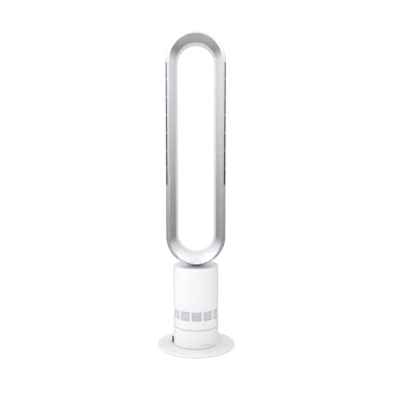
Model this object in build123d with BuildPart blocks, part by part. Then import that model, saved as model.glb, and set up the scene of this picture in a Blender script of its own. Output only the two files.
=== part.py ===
"""Bladeless tower fan: a round foot, a swinging body and a tall hollow loop.

Units are millimetres.  The origin is the centre of the footprint on the floor, +Z is up and
the fan faces -Y.
"""
from build123d import *
from math import acos, asin, atan2, cos, degrees, pi, radians, sin, sqrt, tan
import os

os.makedirs("parts", exist_ok=True)

# ------------------------------------------------------------------ driving dimensions
# Base plate
plate_diameter = 250
plate_rim_top = 8.4
plate_crown = 9.6
plate_wall = 2.0
plate_skin = 2.0
plate_edge_radius = 2.6
plate_rim_bottom = 1.9
pad_radius = 8
pad_stand = 1.5
pad_recess = 1.0
pad_count = 6
pad_inset = 18
pad_chamfer = 0.5
underside_thickness = 1.8
weight_thickness = 2.8
weight_margin = 5
collar_land = 2

# Body
body_diameter = 145.6
body_wall = 2.4
body_top = 268
seam_height = 69.5
seam_gap = 1.3
foot_shadow_gap = 0.8
foot_floor_rise = 1.6
body_edge_radius = 2.4
seam_edge_radius = 0.5

# Air windows round the body
window_count = 12
window_angle = 24.6
window_phase = 2.4
window_bottom = 100
window_height = 29.7
window_corner = 1.2
mesh_overlap = 4
mesh_thickness = 0.6
window_cut = 12

# Loop
loop_half_width = 81
loop_straight = 547
loop_depth = 120
loop_standoff = 0.4
loop_wall = 1.8
gasket_thickness = 1.5
flare_inset = 16.8
flare_depth = 72.6
flare_bulge = 1.3
band_step = 0.7
band_inset = 21.7
band_depth = 117
rear_outset = -12.5
widest_outset = 13.6
widest_depth = 38.6
shoulder_outset = 10.5
shoulder_depth = 84
front_nose_radius = 1.3
rear_nose_radius = 3.4
rear_edge_radius = 5.44
widest_radius = 2.6
gasket_half_width = 2.5

# Outlet slots down the long sides
slot_count = 7
slot_top = 907
slot_length = 51.6
slot_rib = 2.8
slot_outer = 12.1
slot_inner_top = 8.5
slot_inner_bottom = 7.0
grid_front = 21
grid_back = 38
grid_floor = 8
grid_sheet = 1.2

# Neck between the loop and the body
neck_width = 76
neck_length = 54
neck_corner = 14
neck_wall = 2.4
neck_behind_centre = 9
neck_bottom = 249
neck_rise = 20
sleeve_seat = 3
sleeve_depth = 9
sleeve_wall = 2
neck_seal_height = 4
neck_seal_overhang = 1

# Swing bearing and drive
swing_limit = 35
hub_radius = 20
hub_bore = 14
hub_bottom = 44
deck_height = 50
deck_thickness = 3
race_radius = 58
race_width = 6
glide_top = 65.8
glide_thickness = 1.8
turntable_thickness = 3
skirt_thickness = 1.6
skirt_bottom = 60
skirt_clearance = 0.8
turntable_rise = 4.7
stop_offset = 3
stop_depth = 4
stop_width = 5
stop_height = 7
stop_margin = 1.5
clip_thickness = 1.6
clip_groove = 2
clip_overhang = 4
clip_mouth = 14
gear_module = 1.5
ring_teeth = 60
pinion_teeth = 12
gear_width = 6
gear_backlash = 0.35
pressure_angle = 20
drive_angle = 150
motor_radius = 14
motor_height = 19
motor_ear = 17.5
motor_ear_width = 7
motor_ear_thickness = 1
motor_boss_radius = 4.4
motor_shaft_radius = 2.5
pinion_hub_radius = 5.5

# Fan unit
casing_radius = 56
casing_wall = 2
casing_top = 226
bellmouth_height = 136
bellmouth_thickness = 2.4
throat_radius = 48.5
lip_radius = 6
casing_flange = 3
impeller_bottom = 148
impeller_top = 176
impeller_radius = 52
impeller_blades = 9
impeller_twist = 32
hub_nose_radius = 13
hub_base_radius = 31
shaft_radius = 4
bucket_radius = 34
bucket_wall = 2
bucket_bottom = 180
bucket_top = 220
stator_vanes = 11
stator_twist = -24
fan_motor_radius = 26
fan_motor_height = 28
bearing_radius = 9
bearing_height = 4
ledge_thickness = 2
boss_height = 12
casing_seal_thickness = 2
damper_thickness = 2
damper_rise = 16
damper_bore = 13
blade_thickness = 1.8
vane_thickness = 1.6
nut_radius = 6.5
nut_height = 5
lid_height = 17
lid_shoulder = 11
lid_rebate = 4
lid_flat_radius = 3
foam_thickness = 6

# Controls and inlet
button_angle = 27.6
button_spacing = 13.6
button_count = 3
button_height = 20.4
button_width = 8.6
button_rise = 6.2
button_proud = 0.6
button_travel = 1.0
button_corner = 2.6
button_edge_radius = 0.4
button_rest_gap = 0.15
flange_margin = 3
flange_rise_margin = 2.4
flange_thickness = 1.2
board_distance = 54.4
board_thickness = 1.6
board_width = 46
switch_height = 5
switch_size = 6
plunger_size = 3
driver_board_rise = 6
mains_board_rise = 4
inlet_height = 19.6
inlet_radius = 9.8
inlet_proud = 4.6
inlet_barrel = 5.6
inlet_bore = 3.6
inlet_block_width = 16
inlet_depth = 13
inlet_recess = 0.6
inlet_pin_radius = 0.9
inlet_pin_length = 10
collar_depth = 3
collar_edge_radius = 1.2

# Screws
screw_radius = 1.5
screw_head = 2.9
screw_head_height = 2.0
pilot_clearance = 0.05
post_radius = 4.5
post_bite = 0.6
post_height = 14
foot_post_circle = 58
joint_bite = 0.5

# Clearances
slide_clearance = 0.25
seat_clearance = 0.3
parting_gap = 0.3
running_clearance = 0.05
fitting_gap = 0.1
hub_clearance = 0.3
sheet_gap = 0.2

# ------------------------------------------------------------------ worked-out places
plate_radius = plate_diameter / 2
body_radius = body_diameter / 2
body_inner = body_radius - body_wall
seam_bottom = seam_height - seam_gap / 2
seam_top = seam_height + seam_gap / 2
underside_top = pad_stand + underside_thickness
weight_top = underside_top + weight_thickness
cover_ceiling = weight_top + sheet_gap
floor_bottom = plate_crown + foot_shadow_gap + foot_floor_rise
floor_top = floor_bottom + plate_skin
spigot_radius = body_inner - seat_clearance
post_circle = body_inner - post_radius + post_bite
deck_top = deck_height + deck_thickness
plate_turn = glide_top + turntable_rise
turntable_top = plate_turn + turntable_thickness
liner_radius = body_inner - seat_clearance
gear_mesh_radius = gear_module * (ring_teeth - pinion_teeth) / 2
drive_x = gear_mesh_radius * cos(radians(drive_angle))
drive_y = gear_mesh_radius * sin(radians(drive_angle))
window_top = window_bottom + window_height
mesh_bottom = window_bottom - mesh_overlap
mesh_top = window_top + mesh_overlap
ledge_bottom = bellmouth_height + bellmouth_thickness
ledge_top = ledge_bottom + ledge_thickness
boss_top = ledge_bottom + boss_height
casing_bottom = ledge_bottom + casing_seal_thickness
fan_motor_bottom = bucket_bottom + bucket_wall + damper_thickness
fan_motor_top = fan_motor_bottom + fan_motor_height
loop_front = -loop_depth / 2
loop_lower_centre = body_top + loop_standoff + loop_half_width + widest_outset
loop_upper_centre = loop_lower_centre + loop_straight
sleeve_bottom = neck_bottom - sleeve_seat
sleeve_top = neck_bottom + sleeve_depth
slot_pitch = slot_length + slot_rib
slot_bottom = slot_top - slot_count * slot_pitch + slot_rib


# ------------------------------------------------------------------ shared shapes
def polar_points(radius, count, first_angle=0):
    """Evenly spaced points on a circle about the Z axis."""
    step = 360 / count
    turns = [radians(first_angle + step * index) for index in range(count)]
    return [(radius * cos(turn), radius * sin(turn)) for turn in turns]


def ring(outer, inner, bottom, top, mode=Mode.ADD, places=((0, 0),)):
    """Upright discs or rings at the given places, from one height to another."""
    with BuildSketch(Plane.XY.offset(bottom)) as outline:
        with Locations(*places):
            Circle(outer)
            if inner:
                Circle(inner, mode=Mode.SUBTRACT)
    extrude(outline.sketch, amount=top - bottom, mode=mode)


def block(length, depth, bottom, top, centre=(0, 0), mode=Mode.ADD, corner=0):
    """An upright block, with rounded upright edges where a corner radius is given."""
    with BuildSketch(Plane.XY.offset(bottom)) as outline:
        with Locations(centre):
            if corner:
                RectangleRounded(length, depth, corner)
            else:
                Rectangle(length, depth)
    extrude(outline.sketch, amount=top - bottom, mode=mode)


def turned(points, mode=Mode.ADD):
    """A solid of revolution about the Z axis from (radius, height) points."""
    with BuildSketch(Plane.XZ) as profile:
        with BuildLine():
            Polyline(*points, close=True)
        make_face()
    revolve(profile.sketch, axis=Axis.Z, mode=mode)


def screws(places, seat, tip, head_below=False):
    """Screws along Z with their heads on the seat height and a hexagon socket in each."""
    away = -1 if head_below else 1
    head_end = seat + away * screw_head_height
    ring(screw_head, 0, min(seat, head_end), max(seat, head_end), places=places)
    ring(screw_radius, 0, min(seat, tip), max(seat, tip), places=places)
    with BuildSketch(Plane.XY.offset(head_end)) as sockets:
        with Locations(*places):
            RegularPolygon(screw_head * 0.5, 6)
    extrude(sockets.sketch, amount=-away * screw_head_height * 0.6, mode=Mode.SUBTRACT)


def gear_outline(teeth, backlash):
    """Outline of an involute gear, its teeth thinned by the backlash at the pitch circle."""
    pitch = gear_module * teeth / 2
    base = pitch * cos(radians(pressure_angle))
    tip = pitch + gear_module
    root = pitch - 1.25 * gear_module

    def half_angle(radius):
        spread = acos(min(1, base / max(radius, base)))
        at_pitch = radians(pressure_angle)
        tooth = pi / (2 * teeth) - backlash / (2 * pitch)
        return tooth + tan(at_pitch) - at_pitch - tan(spread) + spread

    flank = [root + (tip - root) * part / 5 for part in range(6)]
    points = []
    for tooth in range(teeth):
        middle = 2 * pi * tooth / teeth
        for radius in flank:
            angle = middle - half_angle(radius)
            points.append((radius * cos(angle), radius * sin(angle)))
        for radius in reversed(flank):
            angle = middle + half_angle(radius)
            points.append((radius * cos(angle), radius * sin(angle)))
    return points


def finish(piece, name):
    """Label a piece and write it out."""
    piece.part.label = name
    export_step(piece.part, f"parts/{name}.step")


# ------------------------------------------------------------------ base plate
pad_places = polar_points(plate_radius - pad_inset, pad_count, 30)
foot_screw_places = polar_points(foot_post_circle, 3, 20)

with BuildPart() as base_plate:
    turned([
        (0, cover_ceiling),
        (0, plate_crown),
        (spigot_radius - plate_wall, plate_crown),
        (spigot_radius - plate_wall, floor_bottom),
        (spigot_radius, floor_bottom),
        (spigot_radius, plate_crown),
        (body_radius + collar_land, plate_crown),
        (plate_radius - 2 * plate_edge_radius, plate_rim_top),
        (plate_radius, plate_rim_top),
        (plate_radius, plate_rim_bottom),
        (plate_radius - plate_wall, plate_rim_bottom),
        (plate_radius - plate_wall, cover_ceiling),
    ])
    rim = base_plate.edges().filter_by(GeomType.CIRCLE).filter_by(
        lambda edge: abs(edge.radius - plate_radius) < 0.01
    )
    fillet(rim.sort_by(Axis.Z)[-1], plate_edge_radius)
    ring(post_radius, 0, cover_ceiling, floor_bottom, places=foot_screw_places)
    ring(screw_radius + seat_clearance, 0, cover_ceiling, floor_bottom,
         mode=Mode.SUBTRACT, places=foot_screw_places)
finish(base_plate, "base_plate")

with BuildPart() as base_weight:
    ring(plate_radius - plate_wall - weight_margin, 0, underside_top, weight_top)
    ring(screw_radius + seat_clearance, 0, underside_top, weight_top,
         mode=Mode.SUBTRACT, places=foot_screw_places)
finish(base_weight, "base_weight")

with BuildPart() as underside_plate:
    ring(plate_radius - plate_wall - seat_clearance, 0, pad_stand, underside_top)
    ring(pad_radius + sheet_gap, 0, pad_stand, pad_stand + pad_recess,
         mode=Mode.SUBTRACT, places=pad_places)
    ring(screw_head + sheet_gap, 0, pad_stand, underside_top,
         mode=Mode.SUBTRACT, places=foot_screw_places)
finish(underside_plate, "underside_plate")

with BuildPart() as foot_pads:
    ring(pad_radius, 0, 0, pad_stand + pad_recess, places=pad_places)
    chamfer(foot_pads.edges().group_by(Axis.Z)[0], pad_chamfer)
finish(foot_pads, "foot_pads")

# ------------------------------------------------------------------ controls
board_rise = 2 * (button_height - floor_top)
turn = radians(button_angle)
button_plane = Plane(
    origin=(0, 0, button_height), x_dir=(cos(turn), sin(turn), 0), z_dir=(sin(turn), -cos(turn), 0)
)
button_offsets = [button_spacing * (index - (button_count - 1) / 2) for index in range(button_count)]
switch_top = board_distance + board_thickness + switch_height
stem_end = switch_top + button_travel + button_rest_gap
flange_width = button_width + flange_margin
flange_rise = button_rise + flange_rise_margin
button_names = ("power_button", "speed_button", "swing_button")


def on_button_plane(distance, depth, width, rise, sideways, corner, mode=Mode.ADD):
    """A rounded block square to the control board, at a distance from the body's axis."""
    with BuildSketch(button_plane.offset(distance)) as outline:
        with Locations((sideways, 0)):
            RectangleRounded(width, rise, corner)
    extrude(outline.sketch, amount=depth, mode=mode)


for name, sideways in zip(button_names, button_offsets):
    reach = sqrt(body_inner**2 - (abs(sideways) + flange_width / 2) ** 2)
    flange_front = reach - seat_clearance
    with BuildPart() as button:
        on_button_plane(stem_end, body_radius - stem_end + switch_height, button_width,
                        button_rise, sideways, button_corner)
        ring(body_radius + button_proud, 0, 0, body_top, mode=Mode.INTERSECT)
        fillet(button.faces().sort_by(Axis((0, 0, 0), button_plane.z_dir))[-1].edges(),
               button_edge_radius)
        on_button_plane(flange_front - flange_thickness, flange_thickness, flange_width,
                        flange_rise, sideways, button_corner)
    finish(button, name)

with BuildPart() as control_board:
    on_button_plane(board_distance, board_thickness, board_width, board_rise, 0, 1)
    for sideways in button_offsets:
        on_button_plane(board_distance + board_thickness, switch_height - plunger_size / 2,
                        switch_size, switch_size, sideways, 0.5)
        on_button_plane(board_distance + board_thickness, switch_height, plunger_size,
                        plunger_size, sideways, 1.4)
finish(control_board, "control_board")

# ------------------------------------------------------------------ power inlet
inlet_plane = Plane(origin=(0, 0, inlet_height), x_dir=(0, -1, 0), z_dir=(-1, 0, 0))
inlet_face = body_radius + inlet_proud
inlet_block_face = sqrt(body_inner**2 - (inlet_block_width / 2) ** 2) - seat_clearance


def on_inlet_plane(distance, depth, outer, inner=0, mode=Mode.ADD):
    """A round piece on the inlet's axis, at a distance from the body's axis."""
    with BuildSketch(inlet_plane.offset(distance)) as outline:
        Circle(outer)
        if inner:
            Circle(inner, mode=Mode.SUBTRACT)
    extrude(outline.sketch, amount=depth, mode=mode)


with BuildPart() as power_inlet:
    with BuildSketch(inlet_plane.offset(inlet_block_face - inlet_depth)):
        RectangleRounded(inlet_block_width, 2 * inlet_barrel, 2)
    extrude(amount=inlet_depth)
    on_inlet_plane(inlet_block_face - joint_bite,
                   inlet_face - inlet_recess - inlet_block_face + joint_bite, inlet_barrel)
    on_inlet_plane(inlet_face - inlet_depth, inlet_depth, inlet_bore, mode=Mode.SUBTRACT)
finish(power_inlet, "power_inlet")

with BuildPart() as inlet_pin:
    on_inlet_plane(inlet_face - inlet_depth, inlet_pin_length, inlet_pin_radius)
    fillet(inlet_pin.edges().group_by(Axis.X)[0], inlet_pin_radius * 5 / 9)
finish(inlet_pin, "inlet_pin")

with BuildPart() as inlet_collar:
    on_inlet_plane(body_radius - collar_depth, inlet_proud + collar_depth, inlet_radius,
                   inlet_barrel + fitting_gap)
    fillet(inlet_collar.edges().group_by(Axis.X)[0].sort_by(SortBy.LENGTH)[-1],
           collar_edge_radius)
    ring(body_radius + running_clearance, 0, 0, body_top, mode=Mode.SUBTRACT)
finish(inlet_collar, "inlet_collar")

# ------------------------------------------------------------------ foot housing
deck_screw_places = polar_points(post_circle, 4, 60)
mains_board_places = [(-34, -16), (22, -16), (-34, 20), (22, 20)]

with BuildPart() as lower_housing:
    ring(body_radius, body_inner, plate_crown + foot_shadow_gap, seam_bottom)
    edges = lower_housing.edges().group_by(Axis.Z)
    fillet(edges[-1].sort_by(SortBy.LENGTH)[-1], seam_edge_radius)
    fillet(lower_housing.edges().group_by(Axis.Z)[0].sort_by(SortBy.LENGTH)[-1], seam_edge_radius)
    ring(body_inner + joint_bite, 0, floor_bottom, floor_top)
    ring(post_radius, 0, floor_top, floor_top + post_height, places=foot_screw_places)
    ring(screw_radius + pilot_clearance, 0, floor_bottom, floor_top + post_height - 1,
         mode=Mode.SUBTRACT, places=foot_screw_places)
    ring(post_radius, 0, deck_height - post_height, deck_height, places=deck_screw_places)
    ring(screw_radius + pilot_clearance, 0, deck_height - 10, deck_height,
         mode=Mode.SUBTRACT, places=deck_screw_places)
    ring(3, 0, floor_top, floor_top + mains_board_rise, places=mains_board_places)
    with BuildSketch(button_plane.offset(board_distance - 4)):
        with Locations((-18, floor_top + 5 - button_height), (18, floor_top + 5 - button_height)):
            Rectangle(5, 10)
    extrude(amount=4)
    for sideways in button_offsets:
        on_button_plane(board_distance + 8, body_radius, button_width + 2 * slide_clearance,
                        button_rise + 2 * slide_clearance, sideways, button_corner,
                        mode=Mode.SUBTRACT)
    on_inlet_plane(board_distance, body_radius, inlet_barrel + fitting_gap, mode=Mode.SUBTRACT)
finish(lower_housing, "lower_housing")

with BuildPart() as base_screws:
    screws(foot_screw_places, underside_top, floor_top + 10, head_below=True)
finish(base_screws, "base_screws")

board_bottom = floor_top + mains_board_rise
board_top = board_bottom + board_thickness
with BuildPart() as mains_board:
    block(64, 44, board_bottom, board_top, centre=(-6, 2))
    block(20, 18, board_top, board_top + 14, centre=(-24, 6))
    ring(5, 0, board_top, board_top + 15, places=((2, -8), (14, -8)))
    ring(4, 0, board_top, board_top + 12, places=((-2, 12),))
    block(14, 3, board_top, board_top + 12, centre=(14, 14))
finish(mains_board, "mains_board")

# ------------------------------------------------------------------ swing bearing
race_inner = race_radius - race_width / 2
race_outer = race_radius + race_width / 2
glide_bottom = glide_top - glide_thickness
stop_radius = race_outer + stop_offset
stop_half_angle = degrees(asin(stop_width / (2 * stop_radius)))
stop_angle = swing_limit + 2 * stop_half_angle + stop_margin
ring_gear_outer = race_inner - joint_bite
ring_screw_places = polar_points(ring_gear_outer - 3.4, 3, 15)


def stop_post(angle, bottom, top):
    """A square post on the stop circle, at an angle from the back of the fan."""
    with BuildSketch(Plane.XY.offset(bottom)) as outline:
        with Locations(Location((0, 0, 0), (0, 0, 90 + angle))):
            with Locations((stop_radius, 0)):
                Rectangle(stop_depth, stop_width)
    extrude(outline.sketch, amount=top - bottom)


with BuildPart() as bearing_deck:
    ring(body_inner - seat_clearance, hub_radius + hub_clearance, deck_height, deck_top)
    ring(race_outer, race_inner, deck_top, glide_bottom)
    stop_post(stop_angle, deck_top, deck_top + stop_height)
    stop_post(-stop_angle, deck_top, deck_top + stop_height)
    ring(screw_radius + seat_clearance, 0, deck_height, deck_top,
         mode=Mode.SUBTRACT, places=deck_screw_places)
    ring(screw_radius + pilot_clearance, 0, deck_height, deck_top,
         mode=Mode.SUBTRACT, places=ring_screw_places)
finish(bearing_deck, "bearing_deck")

with BuildPart() as deck_screws:
    screws(deck_screw_places, deck_top, deck_height - 9)
finish(deck_screws, "deck_screws")

with BuildPart() as ring_gear:
    ring(ring_gear_outer, 0, deck_top, deck_top + gear_width)
    with BuildSketch(Plane.XY.offset(deck_top)):
        Polygon(*gear_outline(ring_teeth, -gear_backlash), rotation=drive_angle, align=None)
    extrude(amount=gear_width, mode=Mode.SUBTRACT)
    ring(screw_radius + seat_clearance, 0, deck_top, deck_top + gear_width,
         mode=Mode.SUBTRACT, places=ring_screw_places)
finish(ring_gear, "ring_gear")

with BuildPart() as ring_gear_screws:
    screws(ring_screw_places, deck_top + gear_width, deck_height + 0.5)
finish(ring_gear_screws, "ring_gear_screws")

with BuildPart() as glide_ring:
    ring(race_outer + joint_bite, race_inner - joint_bite, glide_bottom, glide_top)
finish(glide_ring, "glide_ring")

# ------------------------------------------------------------------ turntable
clip_top = deck_height - 2 * sheet_gap
skirt_radius = body_inner - skirt_clearance
shell_screw_places = polar_points(post_circle, 4, 45)
driver_board_centre = (22, -24)
driver_board_places = [(driver_board_centre[0] + dx, driver_board_centre[1] + dy)
                       for dx in (-26, 26) for dy in (-12, 12)]
drive_turn = radians(drive_angle + 90)
motor_screw_places = [(drive_x + side * motor_ear * cos(drive_turn),
                       drive_y + side * motor_ear * sin(drive_turn)) for side in (-1, 1)]

with BuildPart() as turntable:
    ring(liner_radius, hub_bore, plate_turn, turntable_top)
    ring(hub_radius, hub_bore, hub_bottom, plate_turn)
    ring(hub_radius + 1, hub_radius - clip_groove, clip_top - clip_thickness, clip_top,
         mode=Mode.SUBTRACT)
    ring(race_outer, race_inner, glide_top, plate_turn)
    ring(skirt_radius, skirt_radius - skirt_thickness, skirt_bottom, plate_turn)
    stop_post(0, deck_top + 2, plate_turn)
    ring(motor_boss_radius + sheet_gap, 0, plate_turn, turntable_top,
         mode=Mode.SUBTRACT, places=((drive_x, drive_y),))
    ring(2.6, 0, turntable_top, turntable_top + driver_board_rise, places=driver_board_places)
    ring(screw_radius + pilot_clearance, 0, turntable_top, turntable_top + driver_board_rise,
         mode=Mode.SUBTRACT, places=driver_board_places)
    ring(screw_radius + pilot_clearance, 0, plate_turn, turntable_top,
         mode=Mode.SUBTRACT, places=motor_screw_places)
    ring(screw_head + seat_clearance, 0, skirt_bottom, plate_turn + 0.6,
         mode=Mode.SUBTRACT, places=shell_screw_places)
    ring(screw_radius + seat_clearance, 0, plate_turn, turntable_top,
         mode=Mode.SUBTRACT, places=shell_screw_places)
finish(turntable, "turntable")

with BuildPart() as retaining_clip:
    ring(hub_radius + clip_overhang, hub_radius - clip_groove + running_clearance,
         clip_top - clip_thickness, clip_top)
    block(2 * hub_radius, clip_mouth, clip_top - clip_thickness, clip_top,
          centre=(-hub_radius - 6, 0), mode=Mode.SUBTRACT)
finish(retaining_clip, "retaining_clip")

motor_top = turntable_top + motor_height
with BuildPart() as swing_motor:
    ring(motor_radius, 0, turntable_top, motor_top, places=((drive_x, drive_y),))
    with BuildSketch(Plane.XY.offset(turntable_top)):
        with Locations(Location((drive_x, drive_y, 0), (0, 0, drive_angle + 90))):
            SlotOverall(2 * motor_ear + motor_ear_width, motor_ear_width)
    extrude(amount=motor_ear_thickness)
    ring(motor_boss_radius, 0, plate_turn + 2 * sheet_gap, turntable_top,
         places=((drive_x, drive_y),))
    ring(motor_shaft_radius + running_clearance, 0, plate_turn, motor_top - 3,
         mode=Mode.SUBTRACT, places=((drive_x, drive_y),))
    ring(screw_radius + seat_clearance, 0, turntable_top, turntable_top + motor_ear_thickness,
         mode=Mode.SUBTRACT, places=motor_screw_places)
finish(swing_motor, "swing_motor")

with BuildPart() as swing_motor_screws:
    screws(motor_screw_places, turntable_top + motor_ear_thickness, plate_turn + seat_clearance)
finish(swing_motor_screws, "swing_motor_screws")

pinion_bottom = deck_top + 1
pinion_top = pinion_bottom + gear_width - 1
with BuildPart() as swing_pinion:
    with BuildSketch(Plane.XY.offset(pinion_bottom)):
        with Locations((drive_x, drive_y)):
            Polygon(*gear_outline(pinion_teeth, gear_backlash), rotation=drive_angle, align=None)
    extrude(amount=pinion_top - pinion_bottom)
    ring(pinion_hub_radius, 0, pinion_top, pinion_top + 2, places=((drive_x, drive_y),))
    ring(motor_shaft_radius, 0, pinion_top, motor_top - 4, places=((drive_x, drive_y),))
finish(swing_pinion, "swing_pinion")

with BuildPart() as turntable_screws:
    screws(shell_screw_places, plate_turn + 0.6, turntable_top + 10, head_below=True)
finish(turntable_screws, "turntable_screws")

board_bottom = turntable_top + driver_board_rise
board_top = board_bottom + board_thickness
with BuildPart() as driver_board:
    block(60, 32, board_bottom, board_top, centre=driver_board_centre)
    ring(screw_radius + seat_clearance, 0, board_bottom, board_top,
         mode=Mode.SUBTRACT, places=driver_board_places)
    block(12, 12, board_top, board_top + 2, centre=(20, -24))
    block(9, 5, board_top, board_top + 6, centre=(38, -13))
    ring(4, 0, board_top, board_top + 9, places=((6, -18), (6, -30)))
finish(driver_board, "driver_board")

with BuildPart() as driver_board_screws:
    screws(driver_board_places, board_top, turntable_top + 1)
finish(driver_board_screws, "driver_board_screws")

# ------------------------------------------------------------------ body shell
half_chord = body_radius * sin(radians(window_angle / 2))
window_middles = [radians(-90 + window_phase + 360 / window_count * index)
                  for index in range(window_count)]

with BuildPart() as body_shell:
    ring(body_radius, 0, seam_top, body_top)
    fillet(body_shell.edges().group_by(Axis.Z)[-1], body_edge_radius)
    fillet(body_shell.edges().group_by(Axis.Z)[0], seam_edge_radius)
    ring(body_inner, 0, seam_top, body_top - body_wall, mode=Mode.SUBTRACT)
    ring(body_inner + joint_bite, body_inner - post_radius, ledge_bottom, ledge_top)
    ring(post_radius, 0, turntable_top, turntable_top + post_height, places=shell_screw_places)
    ring(post_radius, 0, ledge_bottom, boss_top, places=shell_screw_places)
    ring(screw_radius + pilot_clearance, 0, turntable_top, turntable_top + post_height - 2,
         mode=Mode.SUBTRACT, places=shell_screw_places)
    ring(screw_radius + pilot_clearance, 0, ledge_bottom, boss_top - 1,
         mode=Mode.SUBTRACT, places=shell_screw_places)
    block(neck_width + 2 * seat_clearance, neck_length + 2 * seat_clearance,
          body_top - body_wall, body_top, centre=(0, neck_behind_centre),
          mode=Mode.SUBTRACT, corner=neck_corner)
    for middle in window_middles:
        across = Plane(origin=(0, 0, window_bottom + window_height / 2),
                       x_dir=(-sin(middle), cos(middle), 0), z_dir=(cos(middle), sin(middle), 0))
        with BuildSketch(across.offset(body_radius - window_cut)):
            RectangleRounded(2 * half_chord, window_height, window_corner)
        extrude(amount=2 * window_cut, mode=Mode.SUBTRACT)
finish(body_shell, "body_shell")

with BuildPart() as intake_mesh:
    ring(body_inner - sheet_gap, body_inner - sheet_gap - mesh_thickness, mesh_bottom, mesh_top)
finish(intake_mesh, "intake_mesh")

# ------------------------------------------------------------------ fan unit
lip = bellmouth_thickness
lip_outer = throat_radius + lip_radius
lip_top = bellmouth_height + lip_radius
with BuildPart() as bellmouth:
    with BuildSketch(Plane.XZ):
        with BuildLine():
            Line((liner_radius, bellmouth_height), (lip_outer, bellmouth_height))
            ThreePointArc((lip_outer, bellmouth_height),
                          (lip_outer - lip_radius * cos(pi / 4),
                           lip_top - lip_radius * sin(pi / 4)), (throat_radius, lip_top))
            Line((throat_radius, lip_top), (throat_radius + lip, lip_top))
            ThreePointArc((throat_radius + lip, lip_top),
                          (lip_outer - (lip_radius - lip) * cos(pi / 4),
                           lip_top - (lip_radius - lip) * sin(pi / 4)), (lip_outer, ledge_bottom))
            Line((lip_outer, ledge_bottom), (liner_radius, ledge_bottom))
            Line((liner_radius, ledge_bottom), (liner_radius, bellmouth_height))
        make_face()
    revolve(axis=Axis.Z)
    ring(screw_radius + seat_clearance, 0, bellmouth_height, ledge_bottom,
         mode=Mode.SUBTRACT, places=shell_screw_places)
finish(bellmouth, "bellmouth")

with BuildPart() as bellmouth_screws:
    screws(shell_screw_places, bellmouth_height, boss_top - 2, head_below=True)
finish(bellmouth_screws, "bellmouth_screws")

with BuildPart() as casing_seal:
    ring(casing_radius + casing_flange, casing_radius - 1, ledge_bottom, casing_bottom)
finish(casing_seal, "casing_seal")

with BuildPart() as fan_casing:
    ring(casing_radius, casing_radius - casing_wall, casing_bottom, casing_top)
    ring(casing_radius + casing_flange, casing_radius - casing_wall, casing_bottom,
         casing_bottom + casing_wall)
finish(fan_casing, "fan_casing")


def twisted_blades(count, inner, outer, bottom, top, twist, thickness):
    """Radial blades whose feet and tops are turned against each other."""
    for index in range(count):
        with BuildSketch(Plane.XY.offset(bottom)) as foot:
            with Locations(Location((0, 0, 0), (0, 0, 360 / count * index))):
                with Locations(((inner + outer) / 2, 0)):
                    Rectangle(outer - inner, thickness)
        with BuildSketch(Plane.XY.offset(top)) as head:
            with Locations(Location((0, 0, 0), (0, 0, 360 / count * index + twist))):
                with Locations(((inner + outer) / 2, 0)):
                    Rectangle(outer - inner, thickness)
        loft([foot.sketch, head.sketch], ruled=True)


with BuildPart() as impeller:
    turned([
        (0, impeller_bottom),
        (hub_nose_radius, impeller_bottom),
        (hub_base_radius, impeller_top - 4),
        (hub_base_radius, impeller_top),
        (0, impeller_top),
    ])
    twisted_blades(impeller_blades, hub_nose_radius - 2, impeller_radius, impeller_bottom + 2,
                   impeller_top - 2, impeller_twist, blade_thickness)
    ring(shaft_radius + running_clearance, 0, impeller_bottom, impeller_top, mode=Mode.SUBTRACT)
finish(impeller, "impeller")

shaft_top = fan_motor_top + 2
with BuildPart() as impeller_shaft:
    ring(shaft_radius, 0, impeller_bottom - 6, shaft_top)
    chamfer(impeller_shaft.edges().group_by(Axis.Z)[-1], 0.6)
finish(impeller_shaft, "impeller_shaft")

with BuildPart() as impeller_nut:
    with BuildSketch(Plane.XY.offset(impeller_bottom - nut_height)):
        RegularPolygon(nut_radius, 6)
        Circle(shaft_radius + running_clearance, mode=Mode.SUBTRACT)
    extrude(amount=nut_height)
finish(impeller_nut, "impeller_nut")

band_outer = casing_radius - casing_wall - fitting_gap
with BuildPart() as stator:
    ring(bucket_radius, bucket_radius - bucket_wall, bucket_bottom, bucket_top)
    ring(bucket_radius, 12, bucket_bottom, bucket_bottom + bucket_wall)
    ring(band_outer, band_outer - vane_thickness, bucket_bottom + 3, bucket_top - 6)
    twisted_blades(stator_vanes, bucket_radius - joint_bite, band_outer - 1, bucket_bottom + 4,
                   bucket_top - 7, stator_twist, vane_thickness)
finish(stator, "stator")

damper_outer = bucket_radius - bucket_wall - fitting_gap
damper_inner = fan_motor_radius + fitting_gap
with BuildPart() as motor_damper:
    turned([
        (damper_bore, bucket_bottom + bucket_wall),
        (damper_outer, bucket_bottom + bucket_wall),
        (damper_outer, fan_motor_bottom + damper_rise),
        (damper_inner, fan_motor_bottom + damper_rise),
        (damper_inner, fan_motor_bottom),
        (damper_bore, fan_motor_bottom),
    ])
finish(motor_damper, "motor_damper")

with BuildPart() as fan_motor:
    ring(fan_motor_radius, shaft_radius + running_clearance, fan_motor_bottom, fan_motor_top)
    for end in (fan_motor_bottom, fan_motor_top - bearing_height):
        ring(bearing_radius, 0, end, end + bearing_height, mode=Mode.SUBTRACT)
    fillet(fan_motor.edges().group_by(Axis.Z)[-1].sort_by(SortBy.LENGTH)[-1], 2)
finish(fan_motor, "fan_motor")

with BuildPart() as motor_bearings:
    for end in (fan_motor_bottom, fan_motor_top - bearing_height):
        ring(bearing_radius, shaft_radius + running_clearance, end, end + bearing_height)
finish(motor_bearings, "motor_bearings")

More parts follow.
